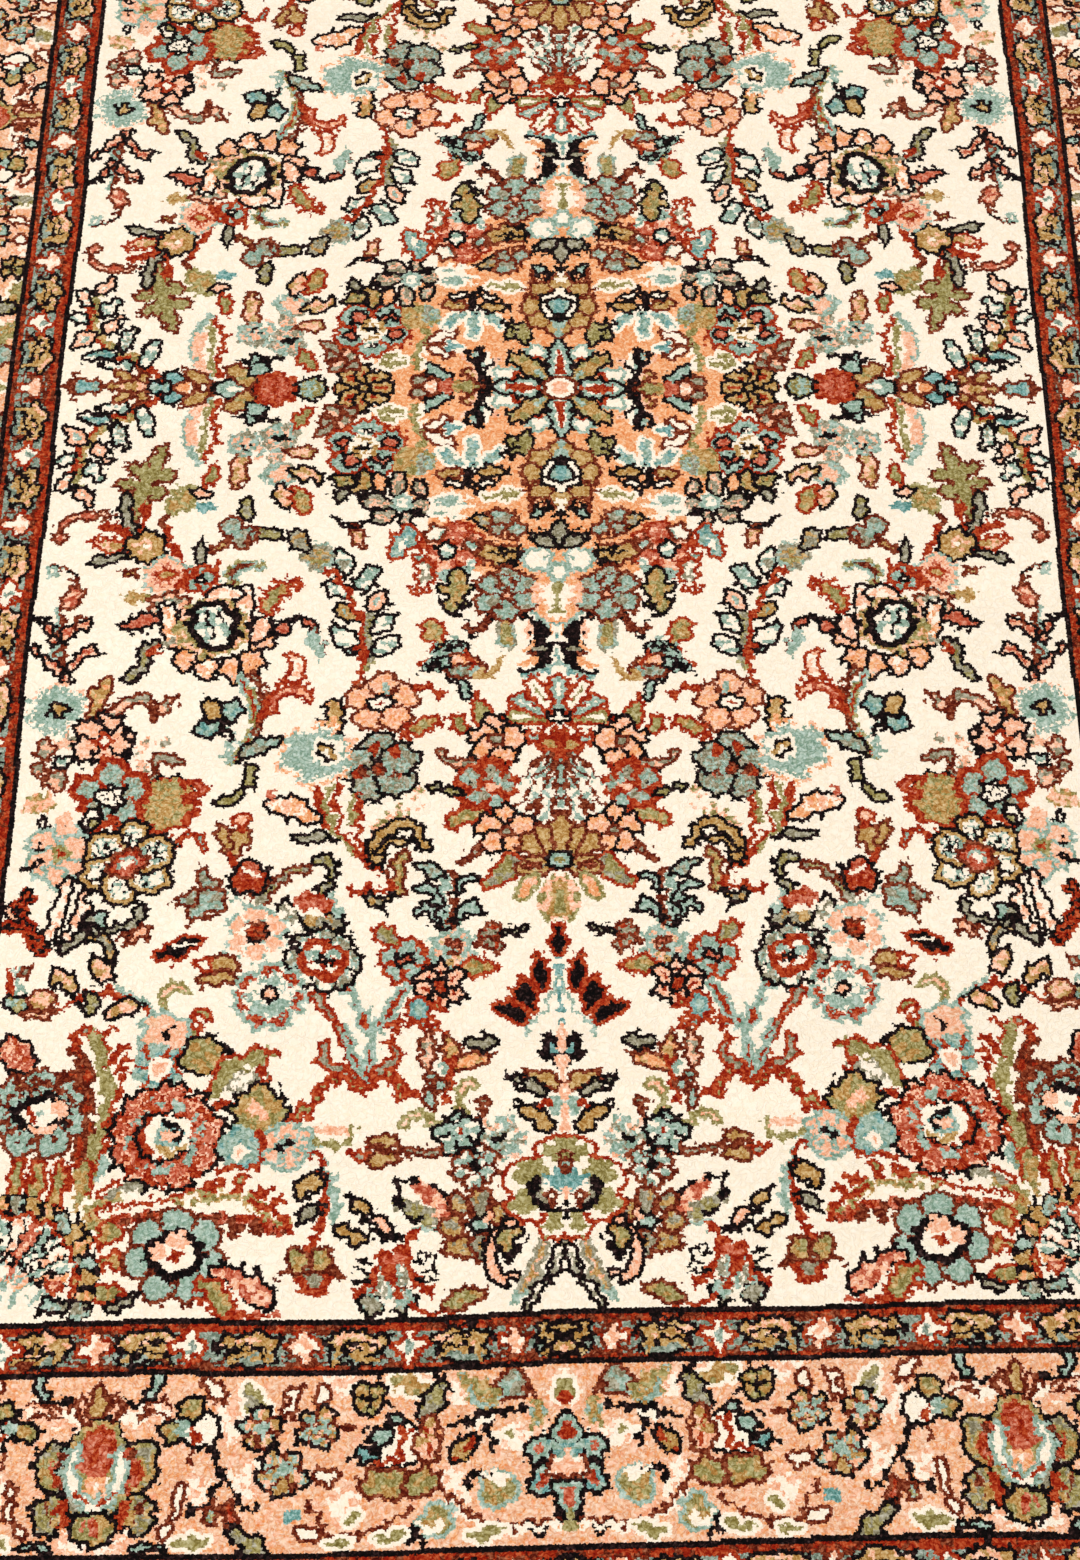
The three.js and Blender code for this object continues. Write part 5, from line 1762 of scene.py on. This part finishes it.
class RugDyes(bpy.types.PropertyGroup):
    """The colours of the silk, in the order of the chart's dyes, and of the cords and webs."""

    ivory: colour_property("Ivory", "Ground of the field", (0.95, 0.83, 0.665))
    peach: colour_property("Peach", "Ground of the medallion", (0.84, 0.41, 0.20))
    coral: colour_property("Coral", "Petals", (0.52, 0.13, 0.068))
    rust: colour_property("Rust", "Outlines and stems", (0.37, 0.036, 0.007))
    brown: colour_property("Brown", "Outlines", (0.17, 0.028, 0.009))
    black: colour_property("Black", "Outlines", (0.007, 0.0025, 0.0025))
    sky: colour_property("Sky", "Petals", (0.33, 0.45, 0.37))
    teal: colour_property("Teal", "Petals", (0.18, 0.37, 0.345))
    olive: colour_property("Olive", "Leaves", (0.34, 0.285, 0.115))
    gold: colour_property("Gold", "Leaves and petals", (0.50, 0.30, 0.105))
    taupe: colour_property("Taupe", "Leaves", (0.32, 0.29, 0.20))
    pink: colour_property("Pink", "Petals", (0.88, 0.49, 0.325))
    salmon: colour_property("Salmon", "Ground of the main border", (0.82, 0.47, 0.30))
    slate: colour_property("Slate", "Ground of the guards", (0.26, 0.32, 0.26))
    cord: colour_property("Side cord", "Silk that wraps the sides", (0.22, 0.035, 0.018))
    web: colour_property("End web", "Warps and wefts of the ends", (0.66, 0.58, 0.45))


# The shade that each dye is mottled with, in the order of the dyes
COMPANIONS = (
    (0.96, 0.85, 0.71), (0.87, 0.47, 0.25), (0.66, 0.20, 0.115), (0.44, 0.062, 0.016), (0.25, 0.05, 0.018),
    (0.018, 0.007, 0.006), (0.44, 0.53, 0.44), (0.28, 0.43, 0.39), (0.42, 0.36, 0.15), (0.60, 0.40, 0.175),
    (0.42, 0.38, 0.27), (0.92, 0.60, 0.43), (0.90, 0.62, 0.44), (0.36, 0.40, 0.32),
)


class RugSizes(bpy.types.PropertyGroup):
    """Sizes that a user may change."""

    relief: number_property("Pile relief", "How uneven the clipped pile is", 0.00012)
    wrap_pitch: number_property("Cord wrap", "Width of one turn of the cord's thread", 0.0016)
    warp_pitch: number_property("Warp pitch", "Distance between two warps of the end web", 0.00212)


class RugStage(bpy.types.PropertyGroup):
    """The camera and the lights."""

    lens: number_property("Lens", "Focal length on a 36 mm long side", 68, "CAMERA")
    pitch: number_property("Pitch", "How far the camera looks down", radians(58.36), "ROTATION")
    height: number_property("Height", "Camera above the pile", 1.421)
    back: number_property("Back", "Camera behind the rug's middle", 1.160)
    aside: number_property("Aside", "Camera to the side of the rug's middle", -0.006)
    key_power: number_property("Key light", "Power of the main light", 57, "POWER")
    fill_power: number_property("Fill light", "Power of the opposite light", 28.5, "POWER")


def dye_colours():
    """The colours of the dyes as the user has set them."""
    dyes = bpy.context.scene.rug_dyes
    return [tuple(getattr(dyes, name)) for name in DYES]


class RUG_OT_pile(bpy.types.Operator):
    """Makes the clipped pile in lengthwise strips, with the design knotted into it"""

    bl_idname = "rug.pile"
    bl_label = "Knot the Pile"

    def execute(self, context):
        cells = woven_cells()
        material = silk_pile_material(dye_colours(), COMPANIONS)
        relief = pile_relief(context.scene.rug_sizes.relief)
        for index in range(PILE_STRIPS):
            pile_strip(index, cells, relief, material)
        return {"FINISHED"}


class RUG_OT_foundation(bpy.types.Operator):
    """Makes the woven back and the plain webs of the ends"""

    bl_idname = "rug.foundation"
    bl_label = "Weave the Foundation"

    def execute(self, context):
        dyes = context.scene.rug_dyes
        foundation_piece(woven_cells(), knotted_back_material(dye_colours()))
        web = tuple(dyes.web)
        material = thread_material("plain_web", web, tuple(0.8 * part for part in web), (1, 0.4, 1), 0.1)
        for side, label in ((-1, "near"), (1, "far")):
            end_web(side, label, context.scene.rug_sizes.warp_pitch, material)
        return {"FINISHED"}


class RUG_OT_side_cords(bpy.types.Operator):
    """Wraps the cords along both sides"""

    bl_idname = "rug.side_cords"
    bl_label = "Wrap the Side Cords"

    def execute(self, context):
        base = tuple(context.scene.rug_dyes.cord)
        shade = tuple(0.7 * part for part in base)
        material = thread_material("side_cord", base, shade, (0.5, 2, 0.5), 0.25)
        for side, label in ((-1, "left"), (1, "right")):
            side_cord(side, label, context.scene.rug_sizes.wrap_pitch, material)
        return {"FINISHED"}


class RUG_OT_declare_cloth(bpy.types.Operator):
    """Gathers the pile strips, side cords and end webs, the pieces of the rug's one sheet of cloth, into a
    list
    """

    bl_idname = "rug.declare_cloth"
    bl_label = "Declare the Cloth"

    def execute(self, context):
        objects = bpy.data.objects
        pieces = [objects[f"pile_{index + 1}"] for index in range(PILE_STRIPS)]
        pieces += [objects[f"side_cord_{label}"] for label in ("left", "right")]
        pieces += [objects[f"end_web_{label}"] for label in ("near", "far")]
        return {"FINISHED"}


def area_light(name, place, target, size, power, colour):
    """A square soft light that looks at a target."""
    light = bpy.data.lights.new(name, "AREA")
    light.shape = "SQUARE"
    light.size = size
    light.energy = power
    light.color = colour
    lamp = linked(name, light)
    lamp.location = place
    direction = Vector(target) - Vector(place)
    lamp.rotation_euler = direction.to_track_quat("-Z", "Y").to_euler()


class RUG_OT_studio(bpy.types.Operator):
    """Sets the camera at the photograph's angle, the floor and the soft lights"""

    bl_idname = "rug.studio"
    bl_label = "Set the Studio"

    def execute(self, context):
        stage = context.scene.rug_stage
        scene = context.scene
        camera = bpy.data.cameras.new("camera")
        camera.lens = stage.lens
        camera.sensor_width = 36
        camera.clip_start = 0.02
        view = linked("camera", camera)
        view.location = (stage.aside, -stage.back, PILE_TOP + stage.height)
        view.rotation_euler = (np.pi / 2 - stage.pitch, 0, 0)
        scene.camera = view
        span = np.linspace(-4.0, 4.0, 9)
        below_rug = -0.0004
        x, y = np.meshgrid(span, span)
        floor = linked("floor", grid_mesh("floor", x, y, np.full_like(x, below_rug)))
        floor.data.materials.append(floor_material())
        area_light("key", (-1.3, -0.6, 2.6), (0, 0, 0), 2.2, stage.key_power, (1.0, 0.985, 0.96))
        area_light("fill", (1.6, 0.9, 2.4), (0, 0, 0), 2.4, stage.fill_power, (0.96, 0.98, 1.0))
        world = bpy.data.worlds.new("studio")
        world.use_nodes = True
        background = world.node_tree.nodes["Background"]
        background.inputs["Color"].default_value = (1.0, 0.99, 0.97, 1)
        background.inputs["Strength"].default_value = 0.5
        scene.world = world
        scene.view_settings.view_transform = "Standard"
        return {"FINISHED"}


class RUG_PT_panel(bpy.types.Panel):
    """Lists the rug's operators and what a user may change"""

    bl_idname = "RUG_PT_panel"
    bl_label = "Knotted Silk Rug"
    bl_space_type = "VIEW_3D"
    bl_region_type = "UI"
    bl_category = "Rug"

    def draw(self, context):
        for operator in OPERATORS:
            self.layout.operator(operator.bl_idname)
        for group in ("rug_sizes", "rug_dyes", "rug_stage"):
            settings = getattr(context.scene, group)
            for name in settings.__annotations__:
                self.layout.prop(settings, name)


OPERATORS = (RUG_OT_studio, RUG_OT_pile, RUG_OT_foundation, RUG_OT_side_cords, RUG_OT_declare_cloth)
GROUPS = {"rug_sizes": RugSizes, "rug_dyes": RugDyes, "rug_stage": RugStage}


def register():
    for group in GROUPS.values():
        bpy.utils.register_class(group)
    for name, group in GROUPS.items():
        setattr(bpy.types.Scene, name, bpy.props.PointerProperty(type=group))
    for operator in OPERATORS:
        bpy.utils.register_class(operator)
    bpy.utils.register_class(RUG_PT_panel)


def unregister():
    bpy.utils.unregister_class(RUG_PT_panel)
    for operator in reversed(OPERATORS):
        bpy.utils.unregister_class(operator)
    for name, group in GROUPS.items():
        delattr(bpy.types.Scene, name)
        bpy.utils.unregister_class(group)


def main():
    register()
    bpy.ops.rug.studio()
    bpy.ops.rug.pile()
    bpy.ops.rug.foundation()
    bpy.ops.rug.side_cords()
    bpy.ops.rug.declare_cloth()


if __name__ == "__main__":
    main()
